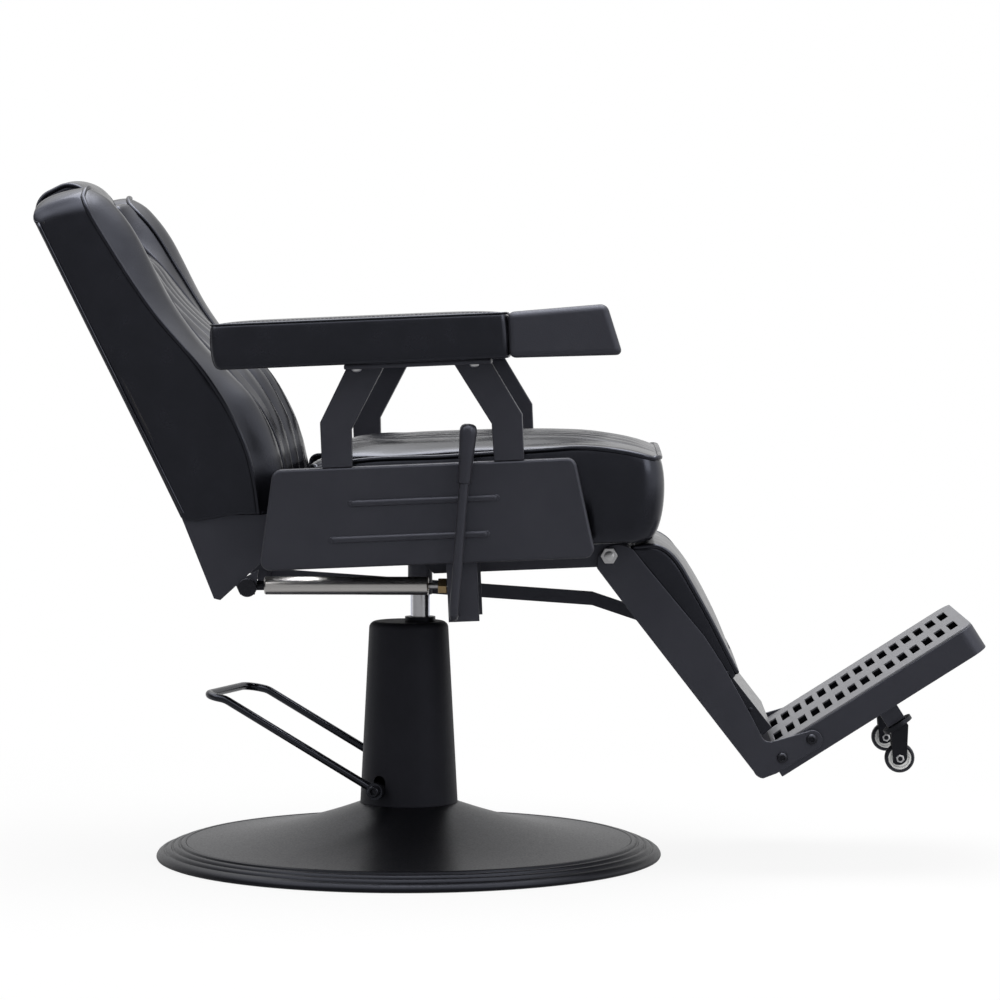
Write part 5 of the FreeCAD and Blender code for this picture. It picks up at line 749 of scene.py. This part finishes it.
def stitch_row(name, line, body):
    """Sew a row of stitches along a line: one low capsule, copied at every pitch."""
    run = np.concatenate([[0], np.cumsum(np.linalg.norm(np.diff(line, axis=0), axis=1))])
    starts = np.arange(STITCH_PITCH, run[-1] - STITCH_PITCH, STITCH_PITCH)
    points = []
    faces = []
    ring = [(math.cos(turn), math.sin(turn)) for turn in np.arange(6) * math.pi / 3]
    for start in starts:
        first, last = [np.array([np.interp(start + reach, run, line[:, axis]) for axis in range(3)])
                       for reach in (0, STITCH_LENGTH)]
        way = Vector(last - first).normalized()
        side = way.orthogonal().normalized()
        rise = way.cross(side)
        at = len(points)
        for share, size in ((0, 0.3), (0.15, 1), (0.85, 1), (1, 0.3)):
            spot = Vector(first + (last - first) * share)
            points += [spot + (side * a + rise * b) * STITCH_RADIUS * size for a, b in ring]
        for row in range(3):
            for corner in range(6):
                after = (corner + 1) % 6
                faces.append((at + row * 6 + corner, at + row * 6 + after, at + row * 6 + 6 + after,
                              at + row * 6 + 6 + corner))
        faces.append(tuple(range(at + 5, at - 1, -1)))
        faces.append(tuple(range(at + 18, at + 24)))
    stitches = add_mesh(name, points, [], faces)
    face_outwards()
    bpy.ops.object.shade_smooth()
    fit(stitches, thread, body, "leather")


half_length = (PAD_SEAM - PAD_REAR) / 2 - 0.5
for side, sign in SIDES:
    x, y = np.meshgrid(np.linspace(-half_length, half_length, 73), np.linspace(-PAD_HALF, PAD_HALF, 23),
                       indexing="ij")
    x, y = round_corners(x, y, half_length, PAD_HALF, PAD_CORNER)
    crown = PAD_CROWN * (1 - (y / PAD_HALF) ** 4) * (1 - (x / half_length) ** 8)
    middle_x = (PAD_REAR + PAD_SEAM) / 2
    top = np.stack([x + middle_x, y + sign * PAD_MIDDLE, PAD_SIDE + crown], axis=-1)
    sole_x = np.maximum(x, PAD_TUCK - half_length)
    sole = np.stack([sole_x + middle_x, y * PAD_SOLE_SHARE + sign * PAD_MIDDLE, np.full_like(x, PAD_SOLE)],
                    axis=-1)
    at_rear = np.clip((-rim_of(x) - half_length + PAD_BULGE_FROM) / PAD_BULGE_RUN, 0, 1)
    bulge = (PAD_BULGE + PAD_BULGE * at_rear) / 1000
    arm_top = stand(top, SEAT)
    arm_pad = sew_cushion(f"arm_pad_leather_{side}", arm_top, stand(sole, SEAT), bulge, 8)
    plump(arm_pad, 0.002)
    upholster(arm_pad, "seat", 0.9, f"arm_pad_{side}")
    run_piping(f"arm_seam_{side}", rim_of(arm_top), PAD_SEAM_RADIUS, "seat", True)
    for row_name, edge_column in (("near", 2), ("far", -3)):
        stitch_row(f"arm_stitches_{side}_{row_name}", arm_top[1:-1, edge_column], "seat")

# The hand rests: one piece each, moulded in integral-skin polyurethane foam with a matt, finely pebbled skin.
# They rise towards the nose, whose face leans back, and are screwed on in front of the pads.
GRIP_CORNERS = {"rear_foot": (151.6, 250), "front_foot": (290, 248), "front_top": (273, 311),
                "rear_top": (151.6, 306)}
moulded_skin = grained_finish("integral_skin_polyurethane", "#27272c", "#2d2d32", 0.0018, 0.52, 0.0002)
for side, sign in SIDES:
    bpy.ops.mesh.primitive_cube_add(size=1)
    hand_rest = bpy.context.object
    hand_rest.name = f"hand_rest_{side}"
    corners = np.zeros((8, 3))
    for at, corner in enumerate(hand_rest.data.vertices):
        end = "front" if corner.co.x > 0 else "rear"
        level = "top" if corner.co.z > 0 else "foot"
        forward, up = GRIP_CORNERS[f"{end}_{level}"]
        corners[at] = (forward, sign * PAD_MIDDLE + corner.co.y * 2 * PAD_HALF, up)
    hand_rest.data.vertices.foreach_set("co", stand(corners, SEAT).ravel())
    apply_bevel(hand_rest, 0.0085, 5, 30)
    bpy.ops.object.shade_smooth_by_angle(angle=math.radians(40))
    flat = hand_rest.modifiers.new("flat_faces", "WEIGHTED_NORMAL")
    bpy.ops.object.modifier_apply(modifier=flat.name)
    fit(hand_rest, moulded_skin, "seat", "grip_plastic", f"arm_grip_{side}")

# The backrest's metal: two kneed brackets that swing on pins in the panels, tied by a cross tube.
# Brackets and tube are powder coated, the pins zinc plated, and a blackened pin head holds the lock's eye.
for node in ("back_bracket_left", "back_bracket_right", "back_cross_tube"):
    ease_edges(node, 0.001, powder_coat)
ease_edges("back_pivot_pins", 0.0006, zinc_plate)
LOCK_PIN_X, LOCK_PIN_Z = -0.189, 0.370
PIN_HEAD_OUTLINE = [(0, 0), (11, 0), (11.8, 0.8), (11.8, 2.6), (10.8, 3.6), (4, 4), (0, 4)]
lug_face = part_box("back_bracket_right")[0][1]
pin_head = turn_piece("lock_pin_head", PIN_HEAD_OUTLINE, (LOCK_PIN_X, lug_face, LOCK_PIN_Z), (0, -1, 0), 40)
fit(pin_head, blackened_steel, "backrest", "dark_steel")

# The back board and its rear cover: plywood with a notch for the headrest, and a leather-covered panel on it.
# The cover is stapled on from behind, drawn in a little round its edge and tucked in at its top.
BACK = (-274.7, 462.4, 26.45)
NOTCH_HALF = 131
NOTCH_FOOT = 318
COVER_HALF = 233
COVER_FOOT, COVER_TOP = 3, 396
COVER_CROWN = 2.5
COVER_DEPTH = 8
COVER_TUCK = 4.5
TUCK_LENGTH = 26
ease_edges("back_board", 0.0055, stained_birch)
side_lines = np.linspace(NOTCH_HALF, COVER_HALF, 13)
y_lines = np.concatenate([-side_lines[::-1], np.linspace(-NOTCH_HALF, NOTCH_HALF, 27)[1:-1], side_lines])
up_lines = np.concatenate([np.linspace(COVER_FOOT, NOTCH_FOOT, 32),
                           np.linspace(NOTCH_FOOT, COVER_TOP, 10)[1:]])
up, y = np.meshgrid(up_lines, y_lines, indexing="ij")
in_notch = (np.abs(y) < NOTCH_HALF + 1) & (up > NOTCH_FOOT - 1)
kept = ~(in_notch[:-1, :-1] & in_notch[1:, 1:])
middle_up = (COVER_FOOT + COVER_TOP) / 2
crown = COVER_CROWN * (1 - (y / COVER_HALF) ** 6) * (1 - ((up - middle_up) / (COVER_TOP - middle_up)) ** 6)
tuck = COVER_TUCK * np.clip((up - COVER_TOP + TUCK_LENGTH) / TUCK_LENGTH, 0, 1) ** 2
cover_face = stand(np.stack([COVER_CROWN - crown + tuck, y, up], axis=-1), BACK)
cover_inside = stand(np.stack([np.full_like(up, COVER_DEPTH), y, up], axis=-1), BACK)
rear_cover = sew_cushion("back_cover_leather", cover_face, cover_inside, 0.0006, 2, kept)
plump(rear_cover, 0.002)
upholster(rear_cover, "backrest", 0.4, "back_cover")

# The backrest's cushion: two rolls at the sides with piping round them, a plain strip inside each, and a
# pleated middle with a lumbar swell below the headrest's notch. All are foam under leather.
BACK_HALF = 243
ROLL_CREST_Y = 203
ROLL_INNER = 158
WING_TOP = 416
MIDDLE_TOP = 336
BOARD_FACE = 20
WRAP = 0
WRAP_IN = 7
REAR_DROP = 12
SOLE_FRONT = 128
SOLE_FOOT = -63.5
SOLE_RISE = 0.8
REAR_SEAM_FORWARD, REAR_SEAM_OUT = 5.5, 4.5
SUNK_END = 0.012
TOP_BULGE = 0.002
STRIP_TOP = WING_TOP - 8
PLEAT_PITCH = 52
PLEAT_DEPTH = 10.5
OUTER_EDGE = [(416, 70), (390, 69), (332, 73), (243, 84), (130, 110), (87, 114), (33, 112), (-4, 104),
              (-63, 84)]
ROLL_CREST = [(416, 78), (400, 90), (373, 99), (342, 104), (310, 105), (275, 105), (244, 106), (211, 110),
              (184, 115), (129, 131), (90, 143), (67, 145), (23, 143), (-6, 136), (-63, 122)]
INNER_SEAM = [(416, 74), (365, 90), (297, 97), (213, 106), (129, 129), (67, 143), (23, 142), (-6, 135),
              (-63, 121)]
STRIP_EDGE = [(416, 66), (350, 70), (322, 80), (207, 107), (119, 140), (70, 149), (37, 149), (-5, 140),
              (-63, 123)]
MIDWAY = [(336, 62), (331, 74), (315, 83), (272, 91), (250, 96), (207, 110), (119, 151), (70, 159),
          (37, 159), (-5, 148), (-63, 125)]
CENTRE = [(336, 62), (331, 74), (315, 84), (272, 91), (250, 96), (207, 111), (119, 156), (70, 164),
          (37, 164), (-5, 152), (-63, 126)]
sole_slope = math.tan(math.radians(BACK[2] - SOLE_RISE))


def back_panel(name, lines, up_from, rows, columns, fill, corner, bulge, pleats=False):
    """Make a padded panel of the backrest, its front drawn through lines that run up the back."""
    order = np.argsort([line[0] for line in lines])
    across = np.array([lines[at][0] for at in order], float)
    levels = np.linspace(up_from, SOLE_FOOT, 60)
    profiles = np.array([height_along(lines[at][1], levels) for at in order])
    spots = np.linspace(across[0], across[-1], columns)
    if len(across) == 2:
        surface = np.array([np.interp(spots, across, profile) for profile in profiles.T])
    else:
        surface = np.array([height_along(list(zip(across, profile)), spots) for profile in profiles.T])
    if pleats:
        surface += PLEAT_DEPTH * (np.abs(np.cos(np.pi * spots / PLEAT_PITCH)) ** 0.5 - 1)
    share = np.linspace(0, 1, rows)
    front = np.zeros((rows, columns, 3))
    back = np.zeros((rows, columns, 3))
    half = (across[-1] - across[0]) / 2
    middle = (across[-1] + across[0]) / 2
    rear_up = np.linspace(up_from - REAR_DROP, SOLE_FOOT + (SOLE_FRONT - BOARD_FACE) * sole_slope, rows)
    wrap_up = np.linspace(up_from - REAR_DROP, SOLE_FOOT + (SOLE_FRONT - WRAP) * sole_slope, rows)
    for column, spot in enumerate(spots):
        depths = surface[:, column]
        sole = SOLE_FOOT + (SOLE_FRONT - depths) * sole_slope
        end = np.interp(0, sole - levels, levels)
        up = up_from + (end - up_from) * share
        over = np.clip((up - up_from + corner) / corner, 0, 1)
        out = np.clip((abs(spot - middle) - half + corner) / corner, 0, 1)
        rounded = over * out > 0
        pulled = half - corner + corner * out * np.sqrt(1 - over**2 / 2)
        placed = np.where(rounded, middle + np.sign(spot - middle) * pulled, spot)
        up = np.where(rounded, up_from - corner + corner * over * np.sqrt(1 - out**2 / 2), up)
        front[:, column] = np.stack([np.interp(-up, -levels, depths), placed, up], axis=1)
        back[:, column] = np.stack([np.full(rows, BOARD_FACE), np.full(rows, spot), rear_up], axis=1)
    outermost = np.abs(np.abs(spots) - BACK_HALF) < 1
    if outermost.any():
        back[:, outermost, 0] = WRAP
        back[:, outermost, 1] *= 1 - WRAP_IN / BACK_HALF
        back[:, outermost, 2] = wrap_up[:, None]
        back[0, :, 0] = WRAP
    swell = np.full((rows, columns), bulge)
    swell[0] = bulge + TOP_BULGE
    foot = np.zeros((rows, columns))
    foot[-1] = 1
    front = stand(front, BACK)
    back = stand(back, BACK)
    piece = sew_cushion(name, front, back, rim_of(swell), 10, straight=rim_of(foot))
    plump(piece, 0.004)
    upholster(piece, "backrest", fill, "back_cushion")
    return front, back


for side, sign in SIDES:
    roll_lines = [(sign * BACK_HALF, OUTER_EDGE), (sign * ROLL_CREST_Y, ROLL_CREST),
                  (sign * ROLL_INNER, INNER_SEAM)]
    front, back = back_panel(f"back_roll_{side}", roll_lines, WING_TOP, 80, 27, 0.9, 34, 0.002)
    seam = np.concatenate([front[::-1, 0], front[0, 1:], front[1:, -1]])
    run_piping(f"back_piping_{side}", seam, PIPING, "backrest")
    outer = -1 if sign > 0 else 0
    seam_offset = np.array((REAR_SEAM_FORWARD, sign * REAR_SEAM_OUT, 0))
    rear_seam = back[:, outer] + stand(seam_offset, (0, 0, BACK[2]))
    rear_seam[0, 1] -= sign * SUNK_END
    run_piping(f"back_rear_piping_{side}", rear_seam, PIPING * 0.7, "backrest")
    strip_lines = [(sign * ROLL_INNER, INNER_SEAM), (sign * NOTCH_HALF, STRIP_EDGE)]
    back_panel(f"back_strip_{side}", strip_lines, STRIP_TOP, 80, 13, 0.8, 6, 0.001)
pleat_lines = [(-NOTCH_HALF, STRIP_EDGE), (-NOTCH_HALF / 2, MIDWAY), (0, CENTRE), (NOTCH_HALF / 2, MIDWAY),
               (NOTCH_HALF, STRIP_EDGE)]
back_panel("back_pleats", pleat_lines, MIDDLE_TOP, 70, 99, 0.9, 4, 0.002, True)

# The headrest: a foam pillow wrapped in leather, with piping round both ends, that lifts out of the notch.
# It slides on a flat zinc-plated bar in a socket on the back board.
HEAD_HALF = 116
HEAD_REAR, HEAD_FRONT = -6, 62
HEAD_FOOT, HEAD_TOP = 348, 441
HEAD_CORNER = 26
HEAD_DOME = 7
ease_edges("headrest_socket", 0.001, powder_coat)
ease_edges("headrest_stem", 0.0008, zinc_plate)
half_depth = (HEAD_FRONT - HEAD_REAR) / 2
half_height = (HEAD_TOP - HEAD_FOOT) / 2
deep, up = np.meshgrid(np.linspace(-half_depth, half_depth, 15), np.linspace(-half_height, half_height, 23),
                       indexing="ij")
deep, up = round_corners(deep, up, half_depth, half_height, HEAD_CORNER)
dome = HEAD_DOME * (1 - (deep / half_depth) ** 2) * (1 - (up / half_height) ** 2)
ends = []
for sign in (-1, 1):
    end = np.stack([deep + (HEAD_FRONT + HEAD_REAR) / 2, sign * (HEAD_HALF + dome),
                    up + (HEAD_TOP + HEAD_FOOT) / 2], axis=-1)
    ends.append(stand(end, BACK))
headrest = sew_cushion("headrest_leather", ends[0], ends[1], 0.009, 24)
plump(headrest, 0.004)
upholster(headrest, "headrest", 0.9, "headrest_pad")
for side, end in zip(("right", "left"), ends):
    run_piping(f"headrest_piping_{side}", rim_of(end), PIPING, "headrest", True)

# The link: a kneed flat bar, powder coated, that pushes the leg rest up as the backrest goes down.
ease_edges("leg_link", 0.001, powder_coat)

# The leg rest: two L-shaped plates cut from sheet steel and powder coated, joined by a tube.
# Each hangs on a zinc-plated hex bolt with a washer.
KNEE_X, KNEE_Z = 0.2627, 0.4066
PLATE_FACE = 0.171
WASHER_OUTLINE = [(0, 0), (9.2, 0), (9.6, 0.4), (9.6, 0.9), (9.2, 1.3), (0, 1.3)]
BOLT_END_OUTLINE = [(0, 7), (5.4, 7), (6, 7.6), (6, 8.2), (5, 9), (0, 9.2)]
for node in ("leg_plate_left", "leg_plate_right", "leg_cross_tube"):
    ease_edges(node, 0.001, powder_coat)
ease_edges("leg_pivot_bolts", 0.0012, zinc_plate)
for side, sign in SIDES:
    for name, outline in (("washer", WASHER_OUTLINE), ("bolt_end", BOLT_END_OUTLINE)):
        knee = (KNEE_X, sign * PLATE_FACE, KNEE_Z)
        round_piece = turn_piece(f"leg_{name}_{side}", outline, knee, (0, sign, 0), 32)
        fit(round_piece, zinc_plate, "seat", "zinc_steel")

# The leg pad: foam on a plywood board under leather, thick at the knee and thin at the foot, with piping
# round its front and rear panels.
LEG = (308, 395, 37.9)
LEG_HALF = 164.5
CALF_SIDE = [(1, 26.5), (12, 19.6), (22, 13), (27.5, 6.7), (32.6, -5.6), (34, -25), (31, -50), (28.5, -67),
             (21, -113), (12, -158), (8, -179)]
CALF_MIDDLE = [(2, 28), (15, 26), (28, 18), (36, 3), (39, -15), (39, -33), (36, -61), (29, -103), (18, -147),
               (8, -180)]
CALF_BACK = -5.5
CALF_BACK_TOP, CALF_BACK_FOOT = 24, -179
ease_edges("leg_board", 0.001, stained_birch)
rows, columns = 61, 41
y = np.linspace(-LEG_HALF, LEG_HALF, columns)
share = (1 - np.abs(y / LEG_HALF) ** 3)[None, :, None]
side_line = smooth_path(CALF_SIDE, rows)[:, None, :]
middle_line = smooth_path(CALF_MIDDLE, rows)[:, None, :]
line = side_line * (1 - share) + middle_line * share
y = np.broadcast_to(y, (rows, columns))
front = np.stack([line[..., 0], y, line[..., 1]], axis=-1)
back_z = np.broadcast_to(np.linspace(CALF_BACK_TOP, CALF_BACK_FOOT, rows)[:, None], (rows, columns))
back = np.stack([np.full((rows, columns), CALF_BACK), y, back_z], axis=-1)
leg_front = stand(front, LEG)
leg_back = stand(back, LEG)
leg_pad = sew_cushion("leg_pad_leather", leg_front, leg_back, 0.002, 6)
plump(leg_pad, 0.003)
upholster(leg_pad, "legrest", 0.85, "leg_pad")
run_piping("leg_piping_front", rim_of(leg_front), PIPING, "legrest", True)
run_piping("leg_piping_rear", rim_of(leg_back), PIPING * 0.8, "legrest", True)

# The kick plate below the pad: sheet steel with its sides folded back, gloss enamelled, held by small screws.
KICK_FACE = 165
KICK_SCREWS = ((-2.5, -172), (-7, -227))
PAN_OUTLINE = [(0, 1.9), (1.6, 1.7), (2.7, 1), (3, 0), (0, 0)]
ease_edges("kick_plate", 0.0006, gloss_coat)
for side, sign in SIDES:
    for number, (forward, up) in enumerate(KICK_SCREWS):
        spot = stand(np.array((forward, sign * KICK_FACE, up)), LEG)
        screw = turn_piece(f"kick_screw_{side}_{number}", PAN_OUTLINE, spot, (0, sign, 0), 24)
        fit(screw, blackened_steel, "legrest", "dark_steel")

# The foot rest: a folded pan, closed from below by a plate with the casters' legs, powder coated black.
# On top lies a tread plate with two rows of punched slots, enamelled grey; black button screws hold the pan.
FOOT_SCREWS = ((0.482, 0.151), (0.519, 0.1745))
BUTTON_OUTLINE = [(7, 0), (7, 1), (6.4, 2.4), (5, 3.5), (3.4, 4), (3.2, 3.8), (3, 1.5), (0, 1.5)]
grey_enamel = grained_finish("grey_enamelled_steel", "#636366", "#6c6c6f", 0.002, 0.4, 0.0001)
ease_edges("foot_tray", 0.0015, powder_coat)
ease_edges("foot_base_plate", 0.001, powder_coat)
ease_edges("foot_tread", 0.0006, grey_enamel)
for side, sign in SIDES:
    for number, (forward, up) in enumerate(FOOT_SCREWS):
        screw = turn_piece(f"foot_screw_{side}_{number}", BUTTON_OUTLINE, (forward, sign * PLATE_FACE, up),
                           (0, sign, 0), 32)
        fit(screw, blackened_steel, "legrest", "dark_steel", "foot_bolts")

# The casters: a black nylon fork that swivels under each side of the foot rest, with a rubber-tyred wheel.
# The hub is white nylon, and a zinc-plated hex nut ends the axle.
WHEEL_X, WHEEL_Y, WHEEL_Z = 0.6333, 0.122, 0.1462
FORK_FACE = 0.0124
TYRE_OUTLINE = [(14.4, -6), (15.2, -7.4), (17, -7.8), (18.4, -6.2), (19, -3), (19, 3), (18.4, 6.2), (17, 7.8),
                (15.2, 7.4), (14.4, 6), (14.4, -6)]
HUB_OUTLINE = [(0, -6.4), (5.6, -6.4), (6.2, -5.8), (6.8, -5), (11.6, -5), (12.2, -6.6), (14.5, -6.8),
               (14.5, 6.8), (12.2, 6.6), (11.6, 5), (6.8, 5), (6.2, 5.8), (5.6, 6.4), (0, 6.4)]
NUT_OUTLINE = [(0, 0), (5.4, 0), (5.4, 2), (4.7, 2.6), (0, 2.8)]
black_nylon = grained_finish("black_nylon", "#0e0e10", "#131315", 0.002, 0.40, 0.0001, sheen=0.3)
caster_rubber = grained_finish("caster_rubber", "#151517", "#1b1b1d", 0.002, 0.5, 0.0001)
white_nylon = grained_finish("white_nylon", "#e8e8e6", "#f0f0ee", 0.003, 0.4, 0.00005)
for side, sign in SIDES:
    centre = (WHEEL_X, sign * WHEEL_Y, WHEEL_Z)
    wheel = f"caster_wheel_{side}"
    ease_edges(f"caster_fork_{side}", 0.001, black_nylon)
    tyre = turn_piece(f"caster_tyre_{side}", TYRE_OUTLINE, centre, (0, 1, 0))
    fit(tyre, caster_rubber, wheel, "caster_rubber", wheel)
    hub = turn_piece(f"caster_hub_{side}", HUB_OUTLINE, centre, (0, 1, 0))
    fit(hub, white_nylon, wheel, "caster_rubber", wheel)
    for end_name, end in (("right", -1), ("left", 1)):
        nut = turn_piece(f"caster_nut_{side}_{end_name}", NUT_OUTLINE,
                         (centre[0], centre[1] + end * FORK_FACE, centre[2]), (0, end, 0), 6)
        fit(nut, zinc_plate, f"caster_fork_{side}", "zinc_steel")
